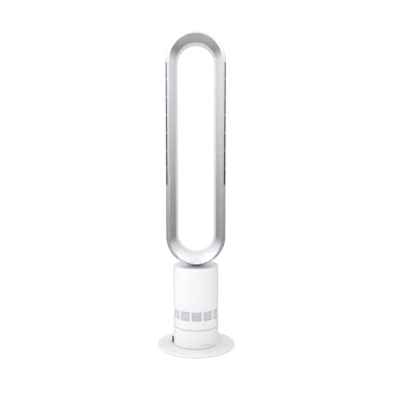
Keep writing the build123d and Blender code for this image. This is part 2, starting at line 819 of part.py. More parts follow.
lid_top = bucket_top + lid_height
with BuildPart() as bucket_lid:
    with BuildSketch(Plane.XZ):
        with BuildLine():
            Line((0, bucket_top), (bucket_radius, bucket_top))
            ThreePointArc((bucket_radius, bucket_top),
                          (bucket_radius * 0.72, bucket_top + lid_shoulder),
                          (lid_flat_radius, lid_top))
            Polyline((lid_flat_radius, lid_top), (0, lid_top), (0, bucket_top))
        make_face()
    revolve(axis=Axis.Z)
    ring(bucket_radius - lid_rebate, 0, bucket_top, bucket_top + lid_rebate, mode=Mode.SUBTRACT)
finish(bucket_lid, "bucket_lid")

with BuildPart() as foam_liner:
    ring(body_inner - sheet_gap, body_inner - foam_thickness, boss_top + 2, sleeve_bottom)
finish(foam_liner, "foam_liner")


def duct_loft(grow, low_radius, mode):
    """Loft from the round casing to the neck's rounded rectangle, grown by a wall."""
    with BuildSketch(Plane.XY.offset(casing_top)) as low:
        Circle(low_radius)
    with BuildSketch(Plane.XY.offset(sleeve_bottom)) as high:
        with Locations((0, neck_behind_centre)):
            RectangleRounded(neck_width + 2 * grow, neck_length + 2 * grow, neck_corner + grow)
    loft([low.sketch, high.sketch], mode=mode)


sleeve_inner = seat_clearance
sleeve_outer = seat_clearance + sleeve_wall
neck_screw_places = [(neck_behind_centre + side * 14, sleeve_top - sleeve_depth / 2)
                     for side in (-1, 1)]


def neck_screw_holes(radius):
    """Cut the neck screws' holes through both sides of a piece."""
    with BuildSketch(Plane.YZ.offset(-neck_width)) as holes:
        with Locations(*neck_screw_places):
            Circle(radius)
    extrude(holes.sketch, amount=2 * neck_width, mode=Mode.SUBTRACT)


with BuildPart() as transition_duct:
    duct_loft(sleeve_outer, casing_radius, Mode.ADD)
    duct_loft(-neck_wall, casing_radius - casing_wall, Mode.SUBTRACT)
    block(neck_width + 2 * sleeve_outer, neck_length + 2 * sleeve_outer, sleeve_bottom, sleeve_top,
          centre=(0, neck_behind_centre), corner=neck_corner + sleeve_outer)
    block(neck_width - 2 * neck_wall, neck_length - 2 * neck_wall, sleeve_bottom, neck_bottom,
          centre=(0, neck_behind_centre), corner=neck_corner - neck_wall, mode=Mode.SUBTRACT)
    block(neck_width + 2 * sleeve_inner, neck_length + 2 * sleeve_inner, neck_bottom, sleeve_top,
          centre=(0, neck_behind_centre), corner=neck_corner + sleeve_inner, mode=Mode.SUBTRACT)
    ring(casing_radius + casing_wall, casing_radius + sheet_gap, casing_top - 4, casing_top)
    ring(casing_radius + casing_wall, casing_radius - casing_wall, casing_top, casing_top + 1.5)
    neck_screw_holes(screw_radius + pilot_clearance)
finish(transition_duct, "transition_duct")

seal_top = sleeve_top + neck_seal_height
seal_edge = sleeve_outer + neck_seal_overhang
with BuildPart() as neck_seal:
    block(neck_width + 2 * seal_edge, neck_length + 2 * seal_edge, sleeve_top, seal_top,
          centre=(0, neck_behind_centre), corner=neck_corner + sleeve_outer)
    block(neck_width + 2 * sheet_gap, neck_length + 2 * sheet_gap, sleeve_top, seal_top,
          centre=(0, neck_behind_centre), corner=neck_corner, mode=Mode.SUBTRACT)
finish(neck_seal, "neck_seal")

# ------------------------------------------------------------------ loop section
seam_inner = (loop_half_width - flare_inset, loop_front + flare_depth)
seam_outer = (loop_half_width + widest_outset, loop_front + widest_depth)
apex_half_angle = (atan2(flare_inset, flare_depth) + atan2(widest_outset, widest_depth)) / 2
nose_overhang = front_nose_radius * (1 / sin(apex_half_angle) - 1)
front_edge = (loop_half_width, loop_front - nose_overhang)
band_start = (seam_inner[0] - band_step, seam_inner[1] + band_step)
band_end = (loop_half_width - band_inset, loop_front + band_depth)
rear_edge = (loop_half_width + rear_outset, loop_front + loop_depth)
shoulder = (loop_half_width + shoulder_outset, loop_front + shoulder_depth)


def bulged(start, end, bulge):
    """The middle of a shallow arc that bulges to the left of its chord."""
    run = (end[0] - start[0], end[1] - start[1])
    length = sqrt(run[0] ** 2 + run[1] ** 2)
    middle = ((start[0] + end[0]) / 2, (start[1] + end[1]) / 2)
    return (middle[0] - run[1] / length * bulge, middle[1] + run[0] / length * bulge)


with BuildSketch() as loop_section:
    with BuildLine():
        ThreePointArc(front_edge, bulged(front_edge, seam_inner, flare_bulge), seam_inner)
        Line(seam_inner, band_start)
        Polyline(band_start, band_end, rear_edge)
        TangentArc(shoulder, rear_edge, tangent=Vector(*shoulder) - Vector(*seam_outer))
        Polyline(shoulder, seam_outer, front_edge)
    make_face()
    fillet(loop_section.vertices().sort_by_distance(front_edge)[0], front_nose_radius)
    fillet(loop_section.vertices().sort_by_distance(band_end)[0], rear_nose_radius)
    fillet(loop_section.vertices().sort_by_distance(rear_edge)[0], rear_edge_radius)
    fillet(loop_section.vertices().sort_by_distance(seam_outer)[0], widest_radius)

with BuildSketch() as sharp_section:
    with BuildLine():
        ThreePointArc(front_edge, bulged(front_edge, seam_inner, flare_bulge), seam_inner)
        Polyline(seam_inner, band_end, rear_edge)
        TangentArc(shoulder, rear_edge, tangent=Vector(*shoulder) - Vector(*seam_outer))
        Polyline(shoulder, seam_outer, front_edge)
    make_face()

with BuildSketch() as plenum_section:
    offset(sharp_section.sketch, amount=-loop_wall, kind=Kind.INTERSECTION)
    fillet(plenum_section.vertices().sort_by_distance(band_end)[0], rear_nose_radius - loop_wall)

gasket_outset = loop_wall + fitting_gap
with BuildSketch() as gasket_core:
    offset(sharp_section.sketch, amount=-gasket_outset, kind=Kind.INTERSECTION)
    offset(sharp_section.sketch, amount=-gasket_outset - gasket_thickness,
           kind=Kind.INTERSECTION, mode=Mode.SUBTRACT)

with BuildSketch() as splitter_section:
    offset(sharp_section.sketch, amount=-gasket_outset - gasket_thickness - fitting_gap,
           kind=Kind.INTERSECTION)

parting_run = Vector(seam_outer[0] - seam_inner[0], seam_outer[1] - seam_inner[1])
parting_way = parting_run.normalized()
parting_side = Vector(-parting_way.Y, parting_way.X)


def parting_strip(near, far):
    """Corners of a strip along the parting line, between two distances behind it."""
    start = Vector(*seam_inner) - parting_way * loop_depth
    end = Vector(*seam_outer) + parting_way * loop_depth
    corners = (start + parting_side * near, end + parting_side * near,
               end + parting_side * far, start + parting_side * far)
    return [(corner.X, corner.Y) for corner in corners]


with BuildSketch() as front_skin:
    add(loop_section.sketch)
    add(plenum_section.sketch, mode=Mode.SUBTRACT)
    Polygon(*parting_strip(-loop_depth, -parting_gap / 2), align=None, mode=Mode.INTERSECT)

with BuildSketch() as rear_skin:
    add(loop_section.sketch)
    add(plenum_section.sketch, mode=Mode.SUBTRACT)
    Polygon(*parting_strip(parting_gap / 2, loop_depth), align=None, mode=Mode.INTERSECT)

with BuildSketch() as gasket_section:
    add(gasket_core.sketch)
    Polygon(*parting_strip(-gasket_half_width, gasket_half_width), align=None, mode=Mode.INTERSECT)


def half_turn(section, height, way):
    """Turn a section half way round the loop's upper or lower centre."""
    with BuildSketch(Plane.XY.offset(height)) as placed:
        add(section)
    revolve(placed.sketch, axis=Axis((0, 0, height), (0, way, 0)), revolution_arc=180)


def carry_round_loop(section):
    """Carry a section round the loop: two straights and two half turns."""
    with BuildSketch(Plane.XY.offset(loop_lower_centre)) as placed:
        add(section)
    extrude(placed.sketch, amount=loop_straight)
    mirror(about=Plane.YZ)
    half_turn(section, loop_upper_centre, -1)
    half_turn(section, loop_lower_centre, 1)


# ------------------------------------------------------------------ loop pieces
def slot_inner(height):
    """How far outside the loop's front edge a slot's inner side lies at a height."""
    part = (slot_top - height) / (slot_top - slot_bottom)
    return loop_half_width + slot_inner_top + (slot_inner_bottom - slot_inner_top) * part


with BuildPart() as loop_front_shell:
    carry_round_loop(front_skin.sketch)
    with BuildSketch(Plane.XZ.offset(-loop_front)):
        for index in range(slot_count):
            low = slot_bottom + index * slot_pitch
            high = low + slot_length
            outer = loop_half_width + slot_outer
            Polygon((slot_inner(low), low), (outer, low), (outer, high), (slot_inner(high), high),
                    align=None)
        mirror(about=Plane.YZ)
    extrude(amount=-widest_depth, mode=Mode.SUBTRACT)
finish(loop_front_shell, "loop_front_shell")

with BuildPart() as plenum_foot:
    half_turn(plenum_section.sketch, loop_lower_centre, 1)

neck_top = body_top + loop_standoff + neck_rise
with BuildPart() as loop_rear_shell:
    carry_round_loop(rear_skin.sketch)
    block(neck_width, neck_length, neck_bottom, neck_top,
          centre=(0, neck_behind_centre), corner=neck_corner)
    add(plenum_foot.part, mode=Mode.SUBTRACT)
    block(neck_width - 2 * neck_wall, neck_length - 2 * neck_wall, neck_bottom, neck_top - 4,
          centre=(0, neck_behind_centre), corner=neck_corner - neck_wall, mode=Mode.SUBTRACT)
    neck_screw_holes(screw_radius + pilot_clearance)
finish(loop_rear_shell, "loop_rear_shell")

with BuildPart() as loop_gasket:
    carry_round_loop(gasket_section.sketch)
finish(loop_gasket, "loop_gasket")

foot = body_top + loop_standoff + 8
with BuildPart() as flow_splitter:
    half_turn(splitter_section.sketch, loop_lower_centre, 1)
    with BuildSketch(Plane.XZ.offset(-neck_behind_centre - 18)):
        Polygon((-1, foot), (1, foot), (16, foot + 40), (-16, foot + 40), align=None)
    extrude(amount=36, mode=Mode.INTERSECT)
finish(flow_splitter, "flow_splitter")

flank_way = (Vector(*seam_outer) - Vector(*front_edge)).normalized()
flank_in = Vector(-flank_way.Y, flank_way.X)


def flank_point(along, depth):
    """A point beside the outer flank: along it from the front edge, and in from it."""
    place = Vector(*front_edge) + flank_way * along + flank_in * depth
    return (place.X, place.Y)


grid_top = loop_wall + fitting_gap
with BuildPart() as outlet_grids:
    with BuildSketch(Plane.XY.offset(slot_bottom - slot_rib)):
        Polygon(flank_point(grid_front, grid_top), flank_point(grid_front + grid_sheet, grid_top),
                flank_point(grid_front + grid_sheet, grid_floor), flank_point(grid_back, grid_floor),
                flank_point(grid_back, grid_floor + grid_sheet),
                flank_point(grid_front, grid_floor + grid_sheet), align=None)
    extrude(amount=slot_top - slot_bottom + 2 * slot_rib)
    for index in range(slot_count + 1):
        with BuildSketch(Plane.XY.offset(slot_bottom - slot_rib + index * slot_pitch)):
            Polygon(flank_point(grid_front, grid_top), flank_point(grid_back, grid_top),
                    flank_point(grid_back, grid_floor + grid_sheet),
                    flank_point(grid_front, grid_floor + grid_sheet), align=None)
        extrude(amount=slot_rib)
    mirror(about=Plane.YZ)
finish(outlet_grids, "outlet_grids")

# ------------------------------------------------------------------ neck screws
neck_half = neck_width / 2 + sleeve_outer
with BuildPart() as neck_screws:
    for side in (-1, 1):
        with BuildSketch(Plane.YZ.offset(side * neck_half)):
            with Locations(*neck_screw_places):
                Circle(screw_head)
        extrude(amount=side * screw_head_height)
        with BuildSketch(Plane.YZ.offset(side * neck_half)):
            with Locations(*neck_screw_places):
                Circle(screw_radius)
        extrude(amount=-side * (sleeve_outer + neck_wall))
finish(neck_screws, "neck_screws")
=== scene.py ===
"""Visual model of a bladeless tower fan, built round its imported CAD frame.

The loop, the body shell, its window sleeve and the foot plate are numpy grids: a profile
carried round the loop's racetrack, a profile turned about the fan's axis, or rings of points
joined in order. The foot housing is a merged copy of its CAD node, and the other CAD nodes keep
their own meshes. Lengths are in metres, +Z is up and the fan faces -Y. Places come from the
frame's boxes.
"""

import logging
import math
from dataclasses import dataclass
from enum import Enum
from typing import Sequence

import bmesh
import bpy
import numpy as np
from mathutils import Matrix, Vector


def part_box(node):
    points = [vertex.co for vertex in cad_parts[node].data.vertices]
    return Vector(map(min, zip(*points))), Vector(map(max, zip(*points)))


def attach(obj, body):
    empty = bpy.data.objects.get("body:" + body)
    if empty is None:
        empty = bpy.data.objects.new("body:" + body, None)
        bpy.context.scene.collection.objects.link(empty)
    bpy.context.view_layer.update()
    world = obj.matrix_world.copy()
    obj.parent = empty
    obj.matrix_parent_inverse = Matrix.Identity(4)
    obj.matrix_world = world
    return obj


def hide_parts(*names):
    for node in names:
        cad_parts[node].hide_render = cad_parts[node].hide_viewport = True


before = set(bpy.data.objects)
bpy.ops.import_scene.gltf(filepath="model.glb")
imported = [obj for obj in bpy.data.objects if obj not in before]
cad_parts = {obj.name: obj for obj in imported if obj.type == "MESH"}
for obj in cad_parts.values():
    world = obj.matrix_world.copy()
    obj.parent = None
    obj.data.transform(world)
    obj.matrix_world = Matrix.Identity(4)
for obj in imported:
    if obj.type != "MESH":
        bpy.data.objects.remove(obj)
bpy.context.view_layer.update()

Colour = tuple[float, float, float]
Place = tuple[float, float, float]
Piece = bpy.types.Object
Socket = bpy.types.NodeSocket

log = logging.getLogger("tower_fan")
MM = 0.001
# Noise mostly stays in this part of its range from 0 to 1.
NOISE_LOW = 0.3
NOISE_HIGH = 0.7
# Points closer than this, in metres, are merged.
WELD_DISTANCE = 1e-6
# Edges sharper than this, in degrees, are rounded where a piece has a bevel.
BEVEL_ANGLE = 50.0
BEVEL_SEGMENTS = 2
# Edges sharper than this, in degrees, stay sharp in the shading.
SHARP_ANGLE = 35.0
# Small numbers that keep a division or a comparison safe.
HAIR = 1e-9
SPECK = 1e-12


class Body(Enum):
    """The frame's bodies that carry pieces."""

    BASE = "base"
    HEAD = "head"


# ---------------------------------------------------------------- materials
def fill(node: bpy.types.Node, values: dict[str, float | Sequence[float]]) -> None:
    """Set a node's inputs by their names."""
    for name, value in values.items():
        node.inputs[name].default_value = value


class Graph:
    """A material's node tree, with short calls to add and join its nodes."""

    def __init__(self, name: str) -> None:
        """Start a material that holds one Principled shader.

        Args:
            name: the material's name.
        """
        self.material = bpy.data.materials.new(name)
        self.material.use_nodes = True
        self.nodes = self.material.node_tree.nodes
        self.links = self.material.node_tree.links
        self.shader = self.nodes["Principled BSDF"]
        self.place = self.nodes.new("ShaderNodeTexCoord").outputs["Object"]

    def join(self, source: Socket, node: bpy.types.Node, socket: str | int) -> None:
        """Link an output to one input of a node."""
        self.links.new(source, node.inputs[socket])

    def noise(self, scale: float, detail: float = 2.0, rough: float = 0.5,
              stretch: Sequence[float] = (1, 1, 1)) -> Socket:
        """Add cloudy noise over the object's own coordinates.

        Args:
            scale: how many features there are in a metre.
            detail: how many finer layers are added.
            rough: how strong the finer layers are.
            stretch: the scale along each axis, for streaks.

        Returns:
            The noise's value, from 0 to 1.
        """
        mapping = self.nodes.new("ShaderNodeMapping")
        fill(mapping, {"Scale": stretch})
        self.join(self.place, mapping, "Vector")
        noise = self.nodes.new("ShaderNodeTexNoise")
        fill(noise, {"Scale": scale, "Detail": detail, "Roughness": rough})
        self.join(mapping.outputs["Vector"], noise, "Vector")
        return noise.outputs["Fac"]

    def cells(self, scale: float, feature: str = "F1") -> Socket:
        """Add Voronoi cells over the object's coordinates and return the distance in them."""
        cells = self.nodes.new("ShaderNodeTexVoronoi")
        cells.feature = feature
        fill(cells, {"Scale": scale})
        self.join(self.place, cells, "Vector")
        return cells.outputs["Distance"]

    def ramp(self, source: Socket, low: Sequence[float], high: Sequence[float],
             start: float = NOISE_LOW, end: float = NOISE_HIGH) -> Socket:
        """Turn a value into a colour between two colours.

        Args:
            source: the value to read.
            low: red, green and blue at the start.
            high: red, green and blue at the end.
            start: the value that gives the low colour.
            end: the value that gives the high colour.

        Returns:
            The colour.
        """
        ramp = self.nodes.new("ShaderNodeValToRGB")
        ramp.color_ramp.elements[0].position = start
        ramp.color_ramp.elements[0].color = (*low, 1)
        ramp.color_ramp.elements[1].position = end
        ramp.color_ramp.elements[1].color = (*high, 1)
        self.join(source, ramp, "Fac")
        return ramp.outputs["Color"]

    def span(self, source: Socket, low: float, high: float) -> Socket:
        """Stretch the range that noise mostly stays in to run from low to high."""
        span = self.nodes.new("ShaderNodeMapRange")
        fill(span, {"From Min": NOISE_LOW, "From Max": NOISE_HIGH, "To Min": low, "To Max": high})
        self.join(source, span, "Value")
        return span.outputs["Result"]

    def bump(self, height: Socket, depth: float, strength: float = 1.0,
             under: Socket | None = None) -> Socket:
        """Add a bump from a height value.

        Args:
            height: the value from 0 to 1.
            depth: how deep the bump is, in metres.
            strength: how much of it is used.
            under: a bump that this one lies on.

        Returns:
            The bumped normal.
        """
        bump = self.nodes.new("ShaderNodeBump")
        fill(bump, {"Distance": depth, "Strength": strength})
        self.join(height, bump, "Height")
        if under is not None:
            self.join(under, bump, "Normal")
        return bump.outputs["Normal"]


def shade(colour: Sequence[float], factor: float) -> tuple[float, ...]:
    """A colour with each part multiplied by a factor."""
    return tuple(part * factor for part in colour)


@dataclass(frozen=True)
class Moulded:
    """Moulded plastic or rubber: slow mottling, fine orange peel and uneven gloss."""

    name: str
    colour: Colour
    roughness: float = 0.3
    mottle: float = 0.02
    peel: float = 0.00004
    peel_scale: float = 420.0
    coat: float = 0.0
    sheen: float = 0.0
    handling: float = 0.04
    cloud_scale: float = 9.0
    handled_scale: float = 34.0
    coat_roughness: float = 0.12
    refraction: float = 1.46

    def build(self) -> bpy.types.Material:
        """Make the material."""
        graph = Graph(self.name)
        clouds = graph.noise(self.cloud_scale, detail=4)
        graph.join(graph.ramp(clouds, shade(self.colour, 1 - self.mottle), self.colour),
                   graph.shader, "Base Color")
        handled = graph.noise(self.handled_scale, detail=5, rough=0.65)
        graph.join(graph.span(handled, self.roughness - self.handling,
                              self.roughness + self.handling), graph.shader, "Roughness")
        peel = graph.bump(graph.noise(self.peel_scale, detail=3), self.peel, strength=0.5)
        graph.join(peel, graph.shader, "Normal")
        fill(graph.shader, {"Coat Weight": self.coat, "Coat Roughness": self.coat_roughness,
                            "Sheen Weight": self.sheen, "IOR": self.refraction})
        return graph.material


@dataclass(frozen=True)
class SilverPaint:
    """Satin silver paint: metal flake under a thin lacquer, with faint clouding."""

    name: str
    colour: Colour = (0.73, 0.74, 0.77)
    roughness: float = 0.25
    unevenness: float = 0.02
    flake_scale: float = 2600.0
    flake_depth: float = 0.000004
    cloud_scale: float = 22.0
    peel_scale: float = 160.0
    peel: float = 0.00001
    metallic: float = 0.9
    coat: float = 0.25
    coat_roughness: float = 0.15

    def build(self) -> bpy.types.Material:
        """Make the material."""
        graph = Graph(self.name)
        flake = graph.cells(self.flake_scale)
        glint = graph.ramp(flake, shade(self.colour, 0.94), shade(self.colour, 1.04),
                           start=0.1, end=0.6)
        graph.join(glint, graph.shader, "Base Color")
        clouds = graph.noise(self.cloud_scale, detail=5, rough=0.6)
        graph.join(graph.span(clouds, self.roughness - self.unevenness,
                              self.roughness + self.unevenness), graph.shader, "Roughness")
        peel = graph.bump(graph.noise(self.peel_scale), self.peel, strength=0.5)
        graph.join(graph.bump(flake, self.flake_depth, strength=0.3, under=peel),
                   graph.shader, "Normal")
        fill(graph.shader, {"Metallic": self.metallic, "Coat Weight": self.coat,
                            "Coat Roughness": self.coat_roughness})
        return graph.material


@dataclass(frozen=True)
class Metal:
    """Bare metal with fine streaks along one axis."""

    name: str
    colour: Colour
    roughness: float = 0.35
    streaks: tuple[float, float, float] = (1, 1, 14)
    streak_scale: float = 260.0

    def build(self) -> bpy.types.Material:
        """Make the material."""
        graph = Graph(self.name)
        streak = graph.noise(self.streak_scale, detail=4, rough=0.6, stretch=self.streaks)
        graph.join(graph.ramp(streak, shade(self.colour, 0.86), shade(self.colour, 1.05)),
                   graph.shader, "Base Color")
        graph.join(graph.span(streak, self.roughness - 0.08, self.roughness + 0.1),
                   graph.shader, "Roughness")
        graph.join(graph.bump(streak, depth=0.00002, strength=0.4), graph.shader, "Normal")
        fill(graph.shader, {"Metallic": 1.0})
        return graph.material


@dataclass(frozen=True)
class Foam:
    """Open-cell foam in a soft grey, with pores darkened at their centres as painted shade in the
    hollows.
    """

    name: str
    colour: Colour = (0.09, 0.09, 0.095)
    pore_scale: float = 900.0
    roughness: float = 0.95

    def build(self) -> bpy.types.Material:
        """Make the material."""
        graph = Graph(self.name)
        pores = graph.cells(self.pore_scale)
        # The pores' dark centres are painted shade in the foam's hollows, not a colour of the
        # foam itself.
        tone = graph.ramp(pores, shade(self.colour, 0.35), self.colour, start=0.1, end=0.5)
        graph.join(tone, graph.shader, "Base Color")
        graph.join(graph.bump(pores, depth=0.0008), graph.shader, "Normal")
        fill(graph.shader, {"Roughness": self.roughness})
        return graph.material


@dataclass(frozen=True)
class CircuitBoard:
    """Green lacquered board with tracks that show through as paler lines."""

    name: str
    colour: Colour = (0.02, 0.13, 0.06)
    track_scale: float = 320.0
    roughness: float = 0.35

    def build(self) -> bpy.types.Material:
        """Make the material."""
        graph = Graph(self.name)
        tracks = graph.cells(self.track_scale, "DISTANCE_TO_EDGE")
        tone = graph.ramp(tracks, shade(self.colour, 2.2), self.colour, start=0.03, end=0.08)
        graph.join(tone, graph.shader, "Base Color")
        graph.join(graph.bump(tracks, depth=0.00005, strength=0.5), graph.shader, "Normal")
        fill(graph.shader, {"Roughness": self.roughness})
        return graph.material


Finish = Moulded | SilverPaint | Metal | Foam | CircuitBoard

WHITE = Moulded("gloss_white", (0.78, 0.78, 0.79), roughness=0.3, mottle=0.006, peel=0.000012,
                peel_scale=240, coat=0.2, handling=0.012)
WARM_WHITE = Moulded("warm_white", (0.91, 0.905, 0.87), roughness=0.3, mottle=0.008,
                     peel=0.000012, peel_scale=240, coat=0.2, handling=0.012)
SILVER = SilverPaint("satin_silver")
MESH_GREY = Moulded("pale_mesh", (0.74, 0.73, 0.76), roughness=0.42, mottle=0.03)
BUTTON_GREY = Moulded("satin_button", (0.62, 0.64, 0.69), roughness=0.45, mottle=0.04,
                      peel=0.00005, peel_scale=900)
BLACK = Moulded("matt_black", (0.022, 0.022, 0.024), roughness=0.46, mottle=0.25,
                peel=0.00006, peel_scale=700)
GREY = Moulded("matt_grey", (0.2, 0.2, 0.215), roughness=0.5, mottle=0.08, peel=0.00006,
               peel_scale=700)
NATURAL = Moulded("natural_acetal", (0.72, 0.70, 0.62), roughness=0.38, mottle=0.05)
RUBBER = Moulded("soft_rubber", (0.018, 0.018, 0.018), roughness=0.72, mottle=0.3,
                 peel=0.00008, peel_scale=1100, sheen=0.15)
STEEL = Metal("plain_steel", (0.5, 0.5, 0.52), roughness=0.35)
MOTOR_STEEL = Metal("rolled_steel", (0.42, 0.42, 0.44), roughness=0.4, streaks=(14, 14, 1))
BRASS = Metal("turned_brass", (0.72, 0.5, 0.2), roughness=0.3)
FOAM = Foam("open_cell_foam")
BOARD = CircuitBoard("lacquered_board")

CARRIED_OVER = {
    # outlet_grids are real strips behind the outlet slots, but their matt black is partly painted
    # shade: it stands for the shade inside the loop's air channel.
    BLACK: ("underside_plate", "power_inlet", "bearing_deck", "turntable", "outlet_grids",
            "bellmouth", "fan_casing", "transition_duct"),
    GREY: ("stator", "bucket_lid", "flow_splitter", "impeller"),
    RUBBER: ("foot_pads", "inlet_collar", "casing_seal", "motor_damper", "neck_seal",
             "loop_gasket"),
    STEEL: ("base_weight", "base_screws", "deck_screws", "ring_gear_screws", "retaining_clip",
            "swing_motor_screws", "turntable_screws", "driver_board_screws", "bellmouth_screws",
            "neck_screws", "impeller_shaft", "impeller_nut", "motor_bearings"),
    MOTOR_STEEL: ("swing_motor", "fan_motor"),
    BRASS: ("inlet_pin",),
    BOARD: ("control_board", "mains_board", "driver_board"),
    NATURAL: ("ring_gear", "glide_ring", "swing_pinion"),
    FOAM: ("foam_liner",),
    BUTTON_GREY: ("power_button", "speed_button", "swing_button"),
}


# ---------------------------------------------------------------- mesh work
def grid_quads(rows: int, columns: int, wrap_rows: bool, wrap_columns: bool) -> np.ndarray:
    """Join a grid of numbered points into quads.

    The point in row r and column c has the number r times columns plus c. Each quad joins a
    point to the next column, the next row and back, and wraps where asked.

    Args:
        rows: how many rows of points there are.
        columns: how many points a row has.
        wrap_rows: whether the last row joins the first.
        wrap_columns: whether the last column joins the first.

    Returns:
        An array of shape (row steps, column steps, 4) of point numbers.
    """
    row = np.arange(rows if wrap_rows else rows - 1)[:, None]
    column = np.arange(columns if wrap_columns else columns - 1)[None, :]
    next_row = (row + 1) % rows
    next_column = (column + 1) % columns
    corners = (row * columns + column, row * columns + next_column,
               next_row * columns + next_column, next_row * columns + column)
    return np.stack(np.broadcast_arrays(*corners), axis=-1)


def weld(mesh: bpy.types.Mesh, outward: bool) -> None:
    """Merge a mesh's doubled points, and turn its faces outwards where asked."""
    work = bmesh.new()
    work.from_mesh(mesh)
    bmesh.ops.remove_doubles(work, verts=work.verts, dist=WELD_DISTANCE)
    if outward:
        bmesh.ops.recalc_face_normals(work, faces=work.faces)
    work.to_mesh(mesh)
    work.free()


def link_piece(name: str, mesh: bpy.types.Mesh, finish: Finish, sharp: float) -> Piece:
    """Shade a mesh smooth, dress it and link it to the scene as a piece.

    Args:
        name: the piece's name.
        mesh: its mesh.
        finish: the finish that dresses it.
        sharp: the angle in degrees past which an edge stays sharp.

    Returns:
        The piece.
    """
    mesh.shade_smooth()
    mesh.set_sharp_from_angle(angle=math.radians(sharp))
    mesh.materials.clear()
    mesh.materials.append(dress(finish))
    piece = bpy.data.objects.new(name, mesh)
    bpy.context.scene.collection.objects.link(piece)
    return piece


def new_piece(name: str, points: np.ndarray, quads: np.ndarray, finish: Finish,
              bevel: float = 0.0, sharp: float = SHARP_ANGLE) -> Piece:
    """Make an object from points and quads, with outward normals and smooth shading.

    Args:
        name: the piece's name.
        points: an array of (x, y, z) rows.
        quads: an array whose last axis holds four point numbers.
        finish: the finish that dresses it.
        bevel: the width of the rounding put on its sharp edges, or 0.
        sharp: the angle in degrees past which an edge stays sharp.

    Returns:
        The object, linked to the scene.
    """
    corners = np.ascontiguousarray(quads.reshape(-1, 4), np.int32)
    mesh = bpy.data.meshes.new(name)
    mesh.vertices.add(len(points))
    mesh.vertices.foreach_set("co", np.ascontiguousarray(points, np.float32).ravel())
    mesh.loops.add(corners.size)
    mesh.loops.foreach_set("vertex_index", corners.ravel())
    mesh.polygons.add(len(corners))
    mesh.polygons.foreach_set("loop_start", np.arange(0, corners.size, 4, dtype=np.int32))
    mesh.update(calc_edges=True)
    mesh.validate()
    weld(mesh, outward=True)
    piece = link_piece(name, mesh, finish, sharp)
    if bevel:
        rounding = piece.modifiers.new("edge_rounding", "BEVEL")
        rounding.width = bevel
        rounding.segments = BEVEL_SEGMENTS
        rounding.limit_method = "ANGLE"
        rounding.angle_limit = math.radians(BEVEL_ANGLE)
        rounding.harden_normals = True
    return piece


def dress(finish: Finish) -> bpy.types.Material:
    """Give a finish's material, made once and then shared."""
    return bpy.data.materials.get(finish.name) or finish.build()


def place(piece: Piece, body: Body, slot: str, *nodes: str) -> Piece:
    """Let a piece ride on a body and stand for CAD nodes.

    Args:
        piece: the finished piece.
        body: the body that carries it.
        slot: the record's material slot; not used.
        nodes: the CAD nodes that it replaces.

    Returns:
        The same piece.
    """
    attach(piece, body.value)
    if nodes:
        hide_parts(*nodes)
    log.info("%s: %d vertices", piece.name, len(piece.data.vertices))
    return piece


def merged_copy(node: str, name: str, finish: Finish) -> Piece:
    """Copy a CAD node, merge its loose triangles and shade it smooth.

    Args:
        node: the CAD node.
        name: the new piece's name.
        finish: the finish that dresses it.

    Returns:
        The new piece.
    """
    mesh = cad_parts[node].data.copy()
    mesh.name = name
    weld(mesh, outward=False)
    return link_piece(name, mesh, finish, SHARP_ANGLE)


def unit(vector: np.ndarray) -> np.ndarray:
    """A vector, or rows of vectors, at length 1."""
    return vector / np.linalg.norm(vector, axis=-1, keepdims=True)


def left_of(vector: np.ndarray) -> np.ndarray:
    """A flat vector, or rows of them, turned a quarter to the left."""
    return np.stack((-vector[..., 1], vector[..., 0]), axis=-1)


def arc(centre: np.ndarray, first: np.ndarray, last: np.ndarray, steps: int) -> np.ndarray:
    """Points that turn evenly about a centre, from one spoke to another.

    Args:
        centre: the centre.
        first: the spoke from the centre to the first point.
        last: the spoke to the last point.
        steps: how many steps there are between them.

    Returns:
        The points, in order.
    """
    swing = math.atan2(first[0] * last[1] - first[1] * last[0], float(first @ last))
    turn = np.linspace(0, swing, steps + 1)[:, None]
    return centre + first * np.cos(turn) + left_of(first) * np.sin(turn)


def round_corner(before: np.ndarray, corner: np.ndarray, after: np.ndarray, radius: float,
                 steps: int = 8) -> np.ndarray:
    """Points of the arc that rounds a corner between two straight runs.

    The arc touches both runs at radius over the tangent of half the corner's inner angle, and
    its points turn evenly from one touching point to the other.

    Args:
        before: a point on the run into the corner.
        corner: the corner.
        after: a point on the run out of it.
        radius: the arc's radius.
        steps: how many steps the arc has.

    Returns:
        The arc's points, in order.
    """
    back = unit(before - corner)
    ahead = unit(after - corner)
    half = math.acos(float(np.clip(back @ ahead, -1, 1))) / 2
    centre = corner + unit(back + ahead) * radius / math.sin(half)
    first = corner + back * radius / math.tan(half) - centre
    last = corner + ahead * radius / math.tan(half) - centre
    return arc(centre, first, last, steps)


def offset_left(points: np.ndarray, distance: float) -> np.ndarray:
    """Shift an open line to its left, each point along the mean of its two runs' normals.

    A point moves by the distance over the cosine of half its turn, and by twice the distance
    at most.

    Args:
        points: the line's points in order.
        distance: how far it moves.

    Returns:
        As many points, shifted.
    """
    runs = unit(np.diff(points, axis=0))
    normals = left_of(runs)
    joined = unit(np.vstack((normals[:1], normals[:-1] + normals[1:], normals[-1:])))
    nearest = np.vstack((normals[:1], normals))
    stretch = 1 / np.maximum(np.sum(joined * nearest, axis=1, keepdims=True), 0.5)
    return points + joined * stretch * distance


